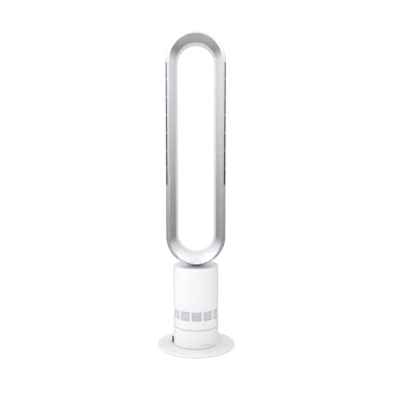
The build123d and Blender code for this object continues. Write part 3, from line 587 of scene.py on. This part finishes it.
# ---------------------------------------------------------------- loop
@dataclass
class Loop:
    """The hollow loop: a silver front shell and a warm white rear shell on a neck.

    Section points are (outset, depth) pairs: outset is measured outwards from the racetrack
    that the front edge follows, and depth backwards from the loop's front.
    """

    half_width: float = 81 * MM
    flare: tuple[float, float] = (-16.8 * MM, 72.6 * MM)
    flare_bulge: float = 1.3 * MM
    band_start: tuple[float, float] = (-17.5 * MM, 73.3 * MM)
    band_end: tuple[float, float] = (-21.7 * MM, 117 * MM)
    rear_edge: tuple[float, float] = (-12.5 * MM, 120 * MM)
    shoulder: tuple[float, float] = (10.5 * MM, 84 * MM)
    widest: tuple[float, float] = (13.6 * MM, 38.6 * MM)
    nose_radius: float = 1.3 * MM
    rear_radius: float = 3.4 * MM
    widest_radius: float = 2.6 * MM
    wall: float = 1.8 * MM
    slot_count: int = 7
    slot_length: float = 51.6 * MM
    slot_rib: float = 2.8 * MM
    slot_outer: float = 12.1 * MM
    slot_inner_top: float = 8.5 * MM
    slot_inner_bottom: float = 7.0 * MM
    neck_spread: float = 4 * MM
    neck_clear: float = 0.8 * MM
    neck_bite: float = 0.6 * MM
    neck_columns: int = 128
    spread_rows: int = 7
    turn_steps: int = 72
    straight_rows: int = 9
    arc_steps: int = 16
    back_softness: float = 1.4
    parting_point: int = 4
    skin_points: int = 24
    nose_clear: float = 0.5 * MM
    apex_allowance: float = 0.12
    edge_bevel: float = 0.25 * MM

    def __post_init__(self) -> None:
        """Read the loop's places from the frame."""
        low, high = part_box("loop_front_shell")
        self.front = low.y
        self.lower_centre = low.z + high.x
        self.upper_centre = high.z - high.x
        grid_low, grid_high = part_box("outlet_grids")
        self.slot_low = grid_low.z + self.slot_rib
        self.slot_high = grid_high.z - self.slot_rib
        angle_in = math.atan2(-self.flare[0], self.flare[1])
        angle_out = math.atan2(self.widest[0], self.widest[1])
        overhang = self.nose_radius * (1 / math.sin((angle_in + angle_out) / 2) - 1)
        self.apex = np.array((0.0, -overhang))
        self.flank = unit(np.array(self.widest) - self.apex)

    def rows(self, levels: np.ndarray) -> tuple[np.ndarray, np.ndarray, np.ndarray]:
        """Rows round the racetrack: up the right side, over, down the left side and under.

        A row's points lie at its centre height plus its direction times the half width and
        the outset. On the straights the direction is level and the centre height follows the
        row; on the turns the centre stays and the direction turns evenly.

        Args:
            levels: the heights of the rows up a straight, lowest first.

        Returns:
            The centre heights, and the directions' x and z parts.
        """
        turn = np.linspace(0, math.pi, self.turn_steps + 1)[1:-1]
        centre = np.concatenate((levels, np.full(len(turn), self.upper_centre), levels[::-1],
                                 np.full(len(turn), self.lower_centre)))
        along_x = np.concatenate((np.ones(len(levels)), np.cos(turn), -np.ones(len(levels)),
                                  -np.cos(turn)))
        along_z = np.concatenate((np.zeros(len(levels)), np.sin(turn), np.zeros(len(levels)),
                                  -np.sin(turn)))
        return centre, along_x, along_z

    def carry(self, section: np.ndarray, levels: np.ndarray) -> np.ndarray:
        """Carry a section round the racetrack.

        Args:
            section: (outset, depth) points, the same for all rows or one set for each row.
            levels: the heights of the rows up a straight.

        Returns:
            An array of shape (rows, points, 3).
        """
        centre, along_x, along_z = self.rows(levels)
        section = np.broadcast_to(section, (len(centre), *section.shape[-2:]))
        reach = self.half_width + section[..., 0]
        return np.stack((along_x[:, None] * reach, self.front + section[..., 1],
                         centre[:, None] + along_z[:, None] * reach), axis=-1)

    def flare_line(self, steps: int = 14) -> np.ndarray:
        """The inner silver face, from its rear edge to the nose: a chord plus a parabola."""
        part = np.linspace(0, 1, steps + 1)[:, None]
        start = np.array(self.flare)
        chord = self.apex - start
        bulge = -left_of(unit(chord)) * self.flare_bulge
        return start + chord * part + bulge * 4 * part * (1 - part)

    def slot_inner(self, heights: np.ndarray) -> np.ndarray:
        """The outset of the slots' inner side at each height, held past the end slots."""
        part = (heights - self.slot_low) / (self.slot_high - self.slot_low)
        part = np.clip(part, 0, 1)
        return self.slot_inner_bottom + (self.slot_inner_top - self.slot_inner_bottom) * part

    def build_front(self) -> Piece:
        """Build the silver front shell with its two rows of outlet slots.

        The section is closed: the outer skin runs from the flare's rear edge over the nose to
        the widest line, and the inner skin comes back one wall inside it. Two columns of the
        outer skin and two of the inner skin follow the slots' sides, so that the quads
        between them at the slots' rows can be left out and their walls put in.
        """
        flare = self.flare_line()
        nose = round_corner(flare[-2], self.apex, np.array(self.widest), self.nose_radius)
        corner = round_corner(self.apex, np.array(self.widest), np.array(self.shoulder),
                              self.widest_radius)[:self.parting_point]
        before = [point for point in flare if point[1] > nose[0][1] + self.nose_clear]
        slot_sides = np.array([self.apex, self.apex])
        outer = np.vstack((before, nose, slot_sides, corner))
        first = len(before) + len(nose)
        inward = left_of(self.flank)
        inner_flare = offset_left(flare, self.wall)[:-1]
        half_apex = math.atan2(*self.widest) / 2 + self.apex_allowance
        depth_limit = self.wall / math.sin(half_apex)
        inner_flare = inner_flare[inner_flare[:, 1] > self.apex[1] + depth_limit]
        inner = np.vstack((corner[-1] + inward * self.wall, slot_sides, inner_flare[::-1]))
        second = len(outer) + 1
        section = np.vstack((outer, inner))

        pitch = self.slot_length + self.slot_rib
        lows = self.slot_low + pitch * np.arange(self.slot_count)
        edges = np.sort(np.concatenate((lows, lows + self.slot_length)))
        levels = np.concatenate(([self.lower_centre], edges, [self.upper_centre]))
        centre = self.rows(levels)[0]
        sections = np.repeat(section[None], len(centre), axis=0)
        near = (self.slot_inner(centre) - self.apex[0]) / self.flank[0]
        far = np.full(len(centre), (self.slot_outer - self.apex[0]) / self.flank[0])
        for column, along, inset in ((first, near, 0), (first + 1, far, 0),
                                     (second, far, self.wall), (second + 1, near, self.wall)):
            sections[:, column] = self.apex + along[:, None] * self.flank + inward * inset

        count = section.shape[0]
        points = self.carry(sections, levels)
        quads = grid_quads(len(centre), count, True, True)
        right = 1 + 2 * np.arange(self.slot_count)
        left = len(levels) + self.turn_steps - 1 + right
        starts = np.concatenate((right, left))
        keep = np.ones(quads.shape[:2], bool)
        keep[starts, first] = False
        keep[starts, second] = False
        low_outer = starts * count + first
        low_inner = starts * count + second
        high_outer = low_outer + count
        high_inner = low_inner + count
        walls = np.concatenate([np.stack(corners, axis=-1) for corners in (
            (low_outer, high_outer, high_inner + 1, low_inner + 1),
            (low_outer + 1, high_outer + 1, high_inner, low_inner),
            (low_outer, low_outer + 1, low_inner, low_inner + 1),
            (high_outer, high_outer + 1, high_inner, high_inner + 1))])
        quads = np.concatenate((quads[keep], walls))
        return new_piece("loop_front", points.reshape(-1, 3), quads, SILVER, self.edge_bevel)

    def rear_line(self) -> np.ndarray:
        """The rear shell's outer skin, from the widest line round the back to the band.

        A straight run to the shoulder, an arc that leaves it without a kink, the rounded back
        edge and the straight inner band. The arc's radius is the chord's square over twice
        its reach to the left of the run.
        """
        widest = np.array(self.widest)
        shoulder = np.array(self.shoulder)
        back = np.array(self.rear_edge)
        end = np.array(self.band_end)
        start = np.array(self.band_start)
        corner = round_corner(self.apex, widest, shoulder, self.widest_radius)
        corner = corner[self.parting_point + 1:]
        side = left_of(unit(shoulder - widest))
        chord = back - shoulder
        radius = float(chord @ chord) / (2 * float(chord @ side))
        centre = shoulder + side * radius
        bend = arc(centre, shoulder - centre, back - centre, self.arc_steps)
        edge = round_corner(bend[-2], back, end, self.rear_radius * self.back_softness)
        nose = round_corner(back, end, start, self.rear_radius)
        bend = bend[np.linalg.norm(bend - back, axis=1) > np.linalg.norm(edge[0] - back)]
        return np.vstack((corner, bend, edge, nose, start))

    def build_rear(self) -> Piece:
        """Build the warm white rear shell: its skin and the same line one wall inside."""
        outer = self.rear_line()
        inner = offset_left(outer, self.wall)[::-1]
        levels = np.linspace(self.lower_centre, self.upper_centre, self.straight_rows)
        points = self.carry(np.vstack((outer, inner)), levels)
        quads = grid_quads(points.shape[0], points.shape[1], True, True)
        return new_piece("loop_rear", points.reshape(-1, 3), quads, WARM_WHITE, self.edge_bevel)

    def underside(self, across: np.ndarray, depth: np.ndarray) -> np.ndarray:
        """The height of the lower turn's underside.

        Args:
            across: distances from the middle plane.
            depth: distances from the loop's front.

        Returns:
            The centre's height less the other side of the triangle whose long side is the
            skin's radius at that depth.
        """
        line = self.rear_line()[:self.skin_points]
        order = np.argsort(line[:, 1])
        reach = self.half_width + np.interp(depth, line[order, 1], line[order, 0])
        return self.lower_centre - np.sqrt(reach ** 2 - across ** 2)

    def build_neck(self, half: tuple[float, float], corner: float, back: float, wall: float,
                   bottom: float, deck: float) -> Piece:
        """Build the neck: a rounded tube that spreads onto the loop's underside.

        The outer wall rises to the spread, whose points leave it along a quarter circle while
        their height stays that much below the underside above them. The circle's radius is
        what clears the body's top, up to a limit.

        Args:
            half: half the neck's width and depth.
            corner: the radius of its corners.
            back: how far its middle is behind the fan's axis.
            wall: its wall.
            bottom: the height of its lower end.
            deck: the height of the body's top.

        Returns:
            The neck.
        """
        angles = np.linspace(0, 2 * math.pi, self.neck_columns + 1)[:-1]
        outer = rounded_rectangle(angles, *half, corner) + (0, back)
        inner = rounded_rectangle(angles, half[0] - wall, half[1] - wall, corner - wall)
        inner = inner + (0, back)
        outward = -left_of(unit(np.roll(outer, -1, axis=0) - np.roll(outer, 1, axis=0)))
        ceiling = self.underside(outer[:, 0], outer[:, 1] - self.front)
        radius = np.clip(ceiling - deck - self.neck_clear, 0, self.neck_spread)[:, None]
        rows = [np.column_stack((outer, np.full(len(outer), bottom)))]
        for turn in np.linspace(0, math.pi / 2, self.spread_rows):
            spot = outer + outward * radius * (1 - math.cos(turn))
            top = self.underside(spot[:, 0], spot[:, 1] - self.front)
            rows.append(np.column_stack((spot, top - radius[:, 0] * (1 - math.sin(turn)))))
        rows.append(rows[-1] + (0, 0, self.neck_bite))
        top = self.underside(inner[:, 0], inner[:, 1] - self.front) + self.neck_bite
        rows.append(np.column_stack((inner, top)))
        rows.append(np.column_stack((inner, np.full(len(inner), bottom))))
        points = np.array(rows)
        quads = grid_quads(len(rows), len(angles), True, True)
        return new_piece("loop_neck", points.reshape(-1, 3), quads, WARM_WHITE)


# ---------------------------------------------------------------- round pieces
def on_cylinder(radius: float | np.ndarray, angle: np.ndarray, height: np.ndarray) -> np.ndarray:
    """Points at a radius: radius times cosine, radius times sine, and the height."""
    return np.stack((radius * np.cos(angle), radius * np.sin(angle), height), axis=-1)


def circle_rows(profile: np.ndarray, angles: np.ndarray) -> np.ndarray:
    """Turn (radius, height) points about the Z axis.

    Args:
        profile: the points of the profile.
        angles: the angles of the columns, in radians.

    Returns:
        An array of shape (profile points, angles, 3).
    """
    height = np.broadcast_to(profile[:, 1:], (len(profile), len(angles)))
    return on_cylinder(profile[:, :1], angles, height)


def onto_corners(points: np.ndarray, size: np.ndarray, radius: float) -> np.ndarray:
    """Move the points beside a rectangle's corners onto arcs, straight to the arcs' centres.

    Args:
        points: (x, y) rows on a rectangle about the origin.
        size: half its width and half its depth.
        radius: the corners' radius.

    Returns:
        As many points, moved.
    """
    corner = (size - radius) * np.sign(points)
    beside = np.all(np.abs(points) > size - radius - HAIR, axis=1)
    rounded = corner + unit(points - corner + SPECK) * radius
    return np.where(beside[:, None], rounded, points)


def rounded_rectangle(angles: np.ndarray, half_x: float, half_y: float,
                      radius: float) -> np.ndarray:
    """Points of a rounded rectangle seen from its centre at the given angles.

    Each ray meets the plain rectangle first, and its corners are rounded after that.

    Args:
        angles: the rays' angles, in radians.
        half_x: half the width.
        half_y: half the depth.
        radius: the corners' radius.

    Returns:
        One (x, y) row for each angle.
    """
    ray = np.stack((np.cos(angles), np.sin(angles)), axis=-1)
    size = np.array((half_x, half_y))
    reach = np.min(size / np.maximum(np.abs(ray), HAIR), axis=1, keepdims=True)
    return onto_corners(ray * reach, size, radius)


@dataclass
class Column:
    """The white body: a foot plate, the lower housing and the shell with its windows."""

    window_count: int = 12
    window_angle: float = 24.6
    window_phase: float = 2.4
    window_bottom: float = 100 * MM
    window_height: float = 29.7 * MM
    window_corner: float = 1.2 * MM
    window_margin: float = 3.4 * MM
    wall: float = 2.4 * MM
    edge_radius: float = 2.4 * MM
    seam_radius: float = 0.5 * MM
    neck_half: tuple[float, float] = (38.3 * MM, 27.3 * MM)
    neck_corner: float = 14 * MM
    neck_back: float = 9 * MM
    neck_gap: float = 0.3 * MM
    sector_steps: int = 16
    side_steps: int = 12
    hole_columns: int = 168
    hole_rows: int = 14
    hole_share: float = 0.66
    rim_radius: float = 2.6 * MM
    plate_rise: float = 1.2 * MM
    plate_wall: float = 2.0 * MM
    plate_ceiling: float = 4.4 * MM
    plate_columns: int = 256
    rim_land: float = 6 * MM
    rim_lift: float = 0.05 * MM
    rim_step: float = 0.03 * MM
    foot_inset: float = 5 * MM
    foot_radius: float = 0.5 * MM
    spigot_gap: float = 0.3 * MM
    collar_land: float = 2 * MM
    collar_height: float = 2.4 * MM
    slope_middle: float = 0.45
    panel_shares: tuple[float, ...] = (0, 0.2, 0.6, 1.0)
    hole_sides: int = 8
    mesh_wall: float = 0.6 * MM
    edge_bevel: float = 0.3 * MM
    plate_bevel: float = 0.2 * MM

    def __post_init__(self) -> None:
        """Read the column's places from the frame."""
        low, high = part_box("body_shell")
        self.radius = high.x
        self.bottom = low.z
        self.top = high.z
        self.inner = self.radius - self.wall
        self.mesh_low, self.mesh_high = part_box("intake_mesh")
        self.plate_low, self.plate_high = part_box("base_plate")

    def angles(self) -> np.ndarray:
        """The angles of the shell's columns: each sector's steps, windows centred in them."""
        sector = 2 * math.pi / self.window_count
        first = math.radians(self.window_phase - 90) - sector / 2
        return first + sector / self.sector_steps * np.arange(self.window_count
                                                              * self.sector_steps)

    def window_rings(self, radius: float) -> tuple[np.ndarray, np.ndarray]:
        """The panels round the windows at one radius, from each hole's outline outwards.

        A panel's outline goes round its sector and the hole's outline is the same outline
        shrunk to the window, with its corners rounded; the rings between them are blends.

        Args:
            radius: the radius of the skin.

        Returns:
            Points of shape (windows, rings, outline points, 3) and the rings' quads.
        """
        half_sector = math.pi / self.window_count
        half_height = self.window_height / 2 + self.window_margin
        across = np.linspace(-1, 1, self.sector_steps + 1)
        up = np.linspace(-1, 1, self.side_steps + 1)
        outline = np.concatenate((
            np.stack((across[:-1], -np.ones(self.sector_steps)), axis=-1),
            np.stack((np.ones(self.side_steps), up[:-1]), axis=-1),
            np.stack((across[:0:-1], np.ones(self.sector_steps)), axis=-1),
            np.stack((-np.ones(self.side_steps), up[:0:-1]), axis=-1)))
        size = np.array((math.radians(self.window_angle / 2) * self.radius,
                         self.window_height / 2))
        hole = onto_corners(outline * size, size, self.window_corner)
        sector = outline * np.array((half_sector * self.radius, half_height))
        share = np.array(self.panel_shares)[:, None, None]
        rings = hole + (sector - hole) * share
        middles = (math.radians(self.window_phase - 90)
                   + 2 * math.pi / self.window_count * np.arange(self.window_count))
        angle = middles[:, None, None] + rings[None, ..., 0] / self.radius
        height = np.broadcast_to(rings[None, ..., 1] + self.window_bottom
                                 + self.window_height / 2, angle.shape)
        points = on_cylinder(radius, angle, height)
        ring_quads = grid_quads(len(share), len(outline), False, True).reshape(-1, 4)
        shift = len(share) * len(outline) * np.arange(self.window_count)
        return points, (ring_quads[None] + shift[:, None, None]).reshape(-1, 4)

    def build_shell(self) -> Piece:
        """Build the upper body shell: turned skins, window panels and the neck's hole.

        The skin is a stack of rings, from the lower edge up the outside, over the rounded
        top, in to the neck's hole, down through it and back down the inside. The rings at the
        windows' band are left open and filled with the window panels of both skins.
        """
        angles = self.angles()
        band_low = self.window_bottom - self.window_margin
        band_high = self.window_bottom + self.window_height + self.window_margin
        quarter = np.linspace(0, math.pi / 2, 9)
        foot = np.stack((self.radius - self.seam_radius * (1 - np.sin(quarter[::2])),
                         self.bottom + self.seam_radius * (1 - np.cos(quarter[::2]))), axis=-1)
        crown = np.stack((self.radius - self.edge_radius * (1 - np.cos(quarter)),
                          self.top - self.edge_radius * (1 - np.sin(quarter))), axis=-1)
        below = circle_rows(np.vstack((foot, (self.radius, band_low))), angles)
        above = circle_rows(np.vstack(((self.radius, band_high), crown)), angles)
        hole = rounded_rectangle(angles, *self.neck_half, self.neck_corner)
        hole = hole + (0, self.neck_back)
        hole_top = np.column_stack((hole, np.full(len(hole), self.top)))
        hole_low = np.column_stack((hole, np.full(len(hole), self.top - self.wall)))
        top_mid = (above[-1] + hole_top) / 2
        inside_top = circle_rows(np.array(((self.inner, self.top - self.wall),
                                           (self.inner, band_high))), angles)
        inside_low = circle_rows(np.array(((self.inner, band_low),
                                           (self.inner, self.bottom))), angles)
        upper = np.concatenate((above, [top_mid, hole_top, hole_low], inside_top))
        lower = np.concatenate((inside_low, below))
        stacks = []
        faces = []
        count = 0
        for rings in (upper, lower):
            stacks.append(rings.reshape(-1, 3))
            faces.append(grid_quads(len(rings), len(angles), False, True).reshape(-1, 4) + count)
            count += rings.shape[0] * rings.shape[1]
        outline = 2 * (self.sector_steps + self.side_steps)
        holes = []
        for radius in (self.radius, self.inner):
            points, quads = self.window_rings(radius)
            holes.append(count + points.shape[1] * outline * np.arange(self.window_count))
            stacks.append(points.reshape(-1, 3))
            faces.append(quads + count)
            count += points.shape[0] * points.shape[1] * outline
        step = np.arange(outline)
        after = (step + 1) % outline
        faces.append(np.stack([np.broadcast_arrays(start[:, None] + ends)[0] for start, ends in
                               ((holes[0], step), (holes[0], after), (holes[1], after),
                                (holes[1], step))], axis=-1).reshape(-1, 4))
        return new_piece("body", np.vstack(stacks), np.vstack(faces), WHITE, self.edge_bevel)

    def build_mesh(self) -> Piece:
        """Build the perforated sleeve behind the windows.

        The sleeve is cut into square cells. Each has an outer and an inner skin, eight quads
        between the cell's outline and its round hole, and eight for the hole's wall. The
        sleeve's two rims join the outlines' lower and upper sides.
        """
        outer = self.mesh_high.x
        inner = outer - self.mesh_wall
        sides = self.hole_sides
        skin_points = 2 * sides
        cell_points = 2 * skin_points
        width = 2 * math.pi / self.hole_columns
        rise = (self.mesh_high.z - self.mesh_low.z) / self.hole_rows
        turn = np.arange(sides) * 2 * math.pi / sides
        circle = np.stack((np.cos(turn), np.sin(turn)), axis=-1)
        low_side = (5, 6, 7)
        high_side = (3, 2, 1)
        square = circle / np.max(np.abs(circle), axis=1, keepdims=True) / 2
        cell = np.concatenate((square, circle / 2 * self.hole_share))
        column = np.arange(self.hole_columns)[:, None, None]
        row = np.arange(self.hole_rows)[None, :, None]
        angle = np.broadcast_to((column + 0.5 + cell[:, 0]) * width,
                                (self.hole_columns, self.hole_rows, skin_points))
        height = np.broadcast_to(self.mesh_low.z + (row + 0.5 + cell[:, 1]) * rise, angle.shape)
        skins = [on_cylinder(radius, angle, height) for radius in (outer, inner)]
        points = np.stack(skins, axis=2).reshape(-1, 3)
        step = np.arange(sides)
        after = (step + 1) % sides
        skin = np.stack((step, after, after + sides, step + sides), axis=-1)
        hole_wall = np.stack((step, after, after + skin_points, step + skin_points),
                             axis=-1) + sides
        quads = np.concatenate((skin, skin + skin_points, hole_wall))
        cells = cell_points * np.arange(self.hole_columns * self.hole_rows)
        faces = (quads[None] + cells[:, None, None]).reshape(-1, 4)
        first = cell_points * self.hole_rows * np.arange(self.hole_columns)
        last = first + cell_points * (self.hole_rows - 1)
        rims = []
        for start, ends in ((first, low_side), (last, high_side)):
            for one, two in zip(ends, ends[1:]):
                rims.append(np.stack((start + one, start + two, start + two + skin_points,
                                      start + one + skin_points), axis=-1))
        faces = np.concatenate((faces, *rims))
        return new_piece("window_mesh", points, faces, MESH_GREY, sharp=30)

    def build_plate(self) -> Piece:
        """Build the foot plate: a low dished disc with a rounded rim and a raised collar."""
        rim = self.plate_high.x
        base = self.plate_low.z
        collar = self.plate_high.z
        crown = collar - self.collar_height
        edge_top = crown - self.plate_rise
        land = rim - self.rim_land
        rounding = round_corner(np.array((land, edge_top + self.rim_lift)),
                                np.array((rim, edge_top)), np.array((rim, base)),
                                self.rim_radius, steps=10)
        foot = round_corner(np.array((rim, edge_top)), np.array((rim, base)),
                            np.array((rim - self.foot_inset, base)), self.foot_radius, steps=4)
        ceiling = base + self.plate_ceiling
        spigot = self.inner - self.spigot_gap
        hollow = rim - self.plate_wall
        middle = self.slope_middle
        profile = np.vstack((
            (0, crown), (spigot - self.plate_wall, crown), (spigot - self.plate_wall, collar),
            (spigot, collar), (spigot, crown), (self.radius + self.collar_land, crown),
            ((1 - middle) * self.radius + middle * rim, (1 - middle) * crown + middle * edge_top),
            (land, edge_top + self.rim_step), rounding, foot,
            (hollow, base), (hollow, ceiling), (0, ceiling)))
        angles = np.linspace(0, 2 * math.pi, self.plate_columns + 1)[:-1]
        points = circle_rows(profile, angles)
        quads = grid_quads(len(profile), len(angles), False, True)
        return new_piece("foot_plate", points.reshape(-1, 3), quads, WHITE, self.plate_bevel)


# ---------------------------------------------------------------- studio
def times(tree: bpy.types.NodeTree, one: Socket, two: Socket) -> Socket:
    """Add a node that multiplies two values, and give its value."""
    product = tree.nodes.new("ShaderNodeMath")
    product.operation = "MULTIPLY"
    tree.links.new(one, product.inputs[0])
    tree.links.new(two, product.inputs[1])
    return product.outputs["Value"]


def spread(tree: bpy.types.NodeTree, source: Socket, start: float, low: float,
           high: float) -> Socket:
    """Add a node that stretches a value to run from low at the start to high at 1.

    Args:
        tree: the node tree.
        source: the value to read.
        start: the value that gives low.
        low: the least result.
        high: the result at 1.

    Returns:
        The result.
    """
    node = tree.nodes.new("ShaderNodeMapRange")
    fill(node, {"From Min": start, "To Min": low, "To Max": high})
    tree.links.new(source, node.inputs["Value"])
    return node.outputs["Result"]


@dataclass(frozen=True)
class SoftLight:
    """A square soft light with its place, its aim, its side's length and its watts."""

    name: str
    spot: Place
    aim: Place
    size: float
    power: float

    def hang(self) -> None:
        """Hang the light and turn it to its aim."""
        lamp = bpy.data.lights.new(self.name, "AREA")
        lamp.size = self.size
        lamp.energy = self.power
        light = bpy.data.objects.new(self.name, lamp)
        light.location = self.spot
        towards = Vector(self.aim) - Vector(self.spot)
        light.rotation_euler = towards.to_track_quat("-Z", "Y").to_euler()
        bpy.context.scene.collection.objects.link(light)


@dataclass
class Studio:
    """A pale floor, soft lights and the camera."""

    camera_place: Place = (13.42 * MM, -1836.9 * MM, 658.2 * MM)
    camera_pitch: float = 5.614
    lens: float = 51.775
    sensor: float = 36.0
    floor_size: float = 40.0
    floor_shade: float = 0.65
    floor_glow: float = 0.4
    sky_peak: float = 2.4
    sky: tuple[tuple[float, float], ...] = ((-1, 0.8), (-0.6, 1.0), (-0.45, 0.7), (-0.2, 0.34),
                                            (-0.15, 0.36), (-0.083, 0.52), (0, 0.82),
                                            (0.08, 1.04), (0.15, 1.12), (0.3, 1.5), (0.6, 2.4),
                                            (1, 2.0))
    sky_tint: Colour = (0.985, 0.98, 1.0)
    front_to_back: tuple[float, float] = (0.25, 1.06)
    left_to_right: tuple[float, float] = (1.08, 0.84)
    behind: float = 0.56
    beside: float = 1.1
    back_share: float = 0.3
    lights: tuple[SoftLight, ...] = (
        SoftLight("key_light", (-0.7, -2.3, 1.5), (0, 0, 0.3), size=1.5, power=25),
        SoftLight("front_light", (0.1, -2.4, 0.36), (0, 0, 0.3), size=0.5, power=6))

    def build_floor(self) -> None:
        """Lay a wide pale floor under the fan."""
        half = self.floor_size / 2
        mesh = bpy.data.meshes.new("floor")
        mesh.from_pydata([(-half, -half, 0), (half, -half, 0), (half, half, 0), (-half, half, 0)],
                         [], [(0, 1, 2, 3)])
        floor = bpy.data.objects.new("floor", mesh)
        bpy.context.scene.collection.objects.link(floor)
        material = bpy.data.materials.new("pale_floor")
        material.use_nodes = True
        shader = material.node_tree.nodes["Principled BSDF"]
        fill(shader, {"Base Color": (*[self.floor_shade] * 3, 1), "Roughness": 1.0,
                      "Specular IOR Level": 0.0, "Emission Color": (1, 1, 1, 1),
                      "Emission Strength": self.floor_glow})
        mesh.materials.append(material)
        floor.visible_glossy = False

    def sky_level(self, tree: bpy.types.NodeTree, rise: Socket) -> Socket:
        """Add the sky's curve from its level at each height, as a share of its peak.

        Args:
            tree: the world's node tree.
            rise: the height of the direction, from -1 to 1.

        Returns:
            The share of the peak.
        """
        curve = tree.nodes.new("ShaderNodeFloatCurve")
        tree.links.new(spread(tree, rise, -1, 0, 1), curve.inputs["Value"])
        points = curve.mapping.curves[0].points
        while len(points) < len(self.sky):
            points.new(0.5, 0.5)
        for point, (height, level) in zip(points, self.sky):
            point.location = ((height + 1) / 2, level / self.sky_peak)
            point.handle_type = "VECTOR"
        curve.mapping.update()
        return curve.outputs["Value"]

    def build_world(self) -> None:
        """Light the surroundings: plain white to the eye, graded for light and reflections.

        The level follows the height of the direction, from a dim floor to a bright ceiling,
        and is multiplied by a share that grows towards the backdrop, one that falls towards
        the right, and one that grows with the square of the distance to either side. Matt
        surfaces get a smaller share of the light from the backdrop than glossy ones.
        """
        world = bpy.data.worlds.new("surroundings")
        bpy.context.scene.world = world
        world.use_nodes = True
        tree = world.node_tree
        nodes = tree.nodes
        links = tree.links
        direction = nodes.new("ShaderNodeTexCoord")
        split = nodes.new("ShaderNodeSeparateXYZ")
        links.new(direction.outputs["Generated"], split.inputs["Vector"])
        across = split.outputs["X"]
        ahead = split.outputs["Y"]
        seen = nodes.new("ShaderNodeLightPath")
        low, high = self.front_to_back
        depth_share = spread(tree, ahead, -1, low * self.sky_peak, high * self.sky_peak)
        side_share = nodes.new("ShaderNodeMath")
        side_share.operation = "MULTIPLY_ADD"
        links.new(times(tree, across, across), side_share.inputs[0])
        side_share.inputs[1].default_value = self.beside
        side_share.inputs[2].default_value = self.behind
        matt = times(tree, ahead, seen.outputs["Is Diffuse Ray"])
        level = times(tree, self.sky_level(tree, split.outputs["Z"]), depth_share)
        level = times(tree, level, spread(tree, across, -1, *self.left_to_right))
        level = times(tree, level, side_share.outputs["Value"])
        level = times(tree, level, spread(tree, matt, 0, 1, self.back_share))
        glow = nodes["Background"]
        fill(glow, {"Color": (*self.sky_tint, 1)})
        links.new(level, glow.inputs["Strength"])
        plain = nodes.new("ShaderNodeBackground")
        fill(plain, {"Color": (1, 1, 1, 1)})
        either = nodes.new("ShaderNodeMixShader")
        links.new(seen.outputs["Is Camera Ray"], either.inputs["Fac"])
        links.new(glow.outputs["Background"], either.inputs[1])
        links.new(plain.outputs["Background"], either.inputs[2])
        links.new(either.outputs["Shader"], nodes["World Output"].inputs["Surface"])

    def build_camera(self) -> None:
        """Set the camera in front of the fan, a little right of its middle."""
        data = bpy.data.cameras.new("camera")
        data.lens = self.lens
        data.sensor_width = self.sensor
        camera = bpy.data.objects.new("camera", data)
        camera.location = self.camera_place
        camera.rotation_euler = (math.radians(90 - self.camera_pitch), 0, 0)
        bpy.context.scene.collection.objects.link(camera)
        bpy.context.scene.camera = camera

    def build(self) -> None:
        """Build the whole studio."""
        bpy.context.scene.view_settings.view_transform = "Standard"
        self.build_camera()
        self.build_floor()
        self.build_world()
        for light in self.lights:
            light.hang()


def dress_frame() -> None:
    """Give every carried-over CAD node its finish."""
    for finish, nodes in CARRIED_OVER.items():
        for node in nodes:
            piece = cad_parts[node]
            piece.data.materials.clear()
            piece.data.materials.append(dress(finish))


def main() -> None:
    """Build the studio and the fan."""
    logging.basicConfig(level=logging.INFO, format="%(name)s: %(message)s")
    Studio().build()
    dress_frame()
    loop = Loop()
    place(loop.build_front(), Body.HEAD, "silver_paint", "loop_front_shell")
    place(loop.build_rear(), Body.HEAD, "warm_white_plastic", "loop_rear_shell")
    column = Column()
    neck_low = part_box("loop_rear_shell")[0].z
    neck_half = (column.neck_half[0] - column.neck_gap, column.neck_half[1] - column.neck_gap)
    place(loop.build_neck(neck_half, column.neck_corner, column.neck_back, column.wall, neck_low,
                          column.top), Body.HEAD, "warm_white_plastic", "loop_rear_shell")
    place(column.build_shell(), Body.HEAD, "white_plastic", "body_shell")
    place(column.build_mesh(), Body.HEAD, "grey_mesh", "intake_mesh")
    place(column.build_plate(), Body.BASE, "white_plastic", "base_plate")
    place(merged_copy("lower_housing", "foot_housing", WHITE), Body.BASE, "white_plastic",
          "lower_housing")


if __name__ == "__main__":
    main()
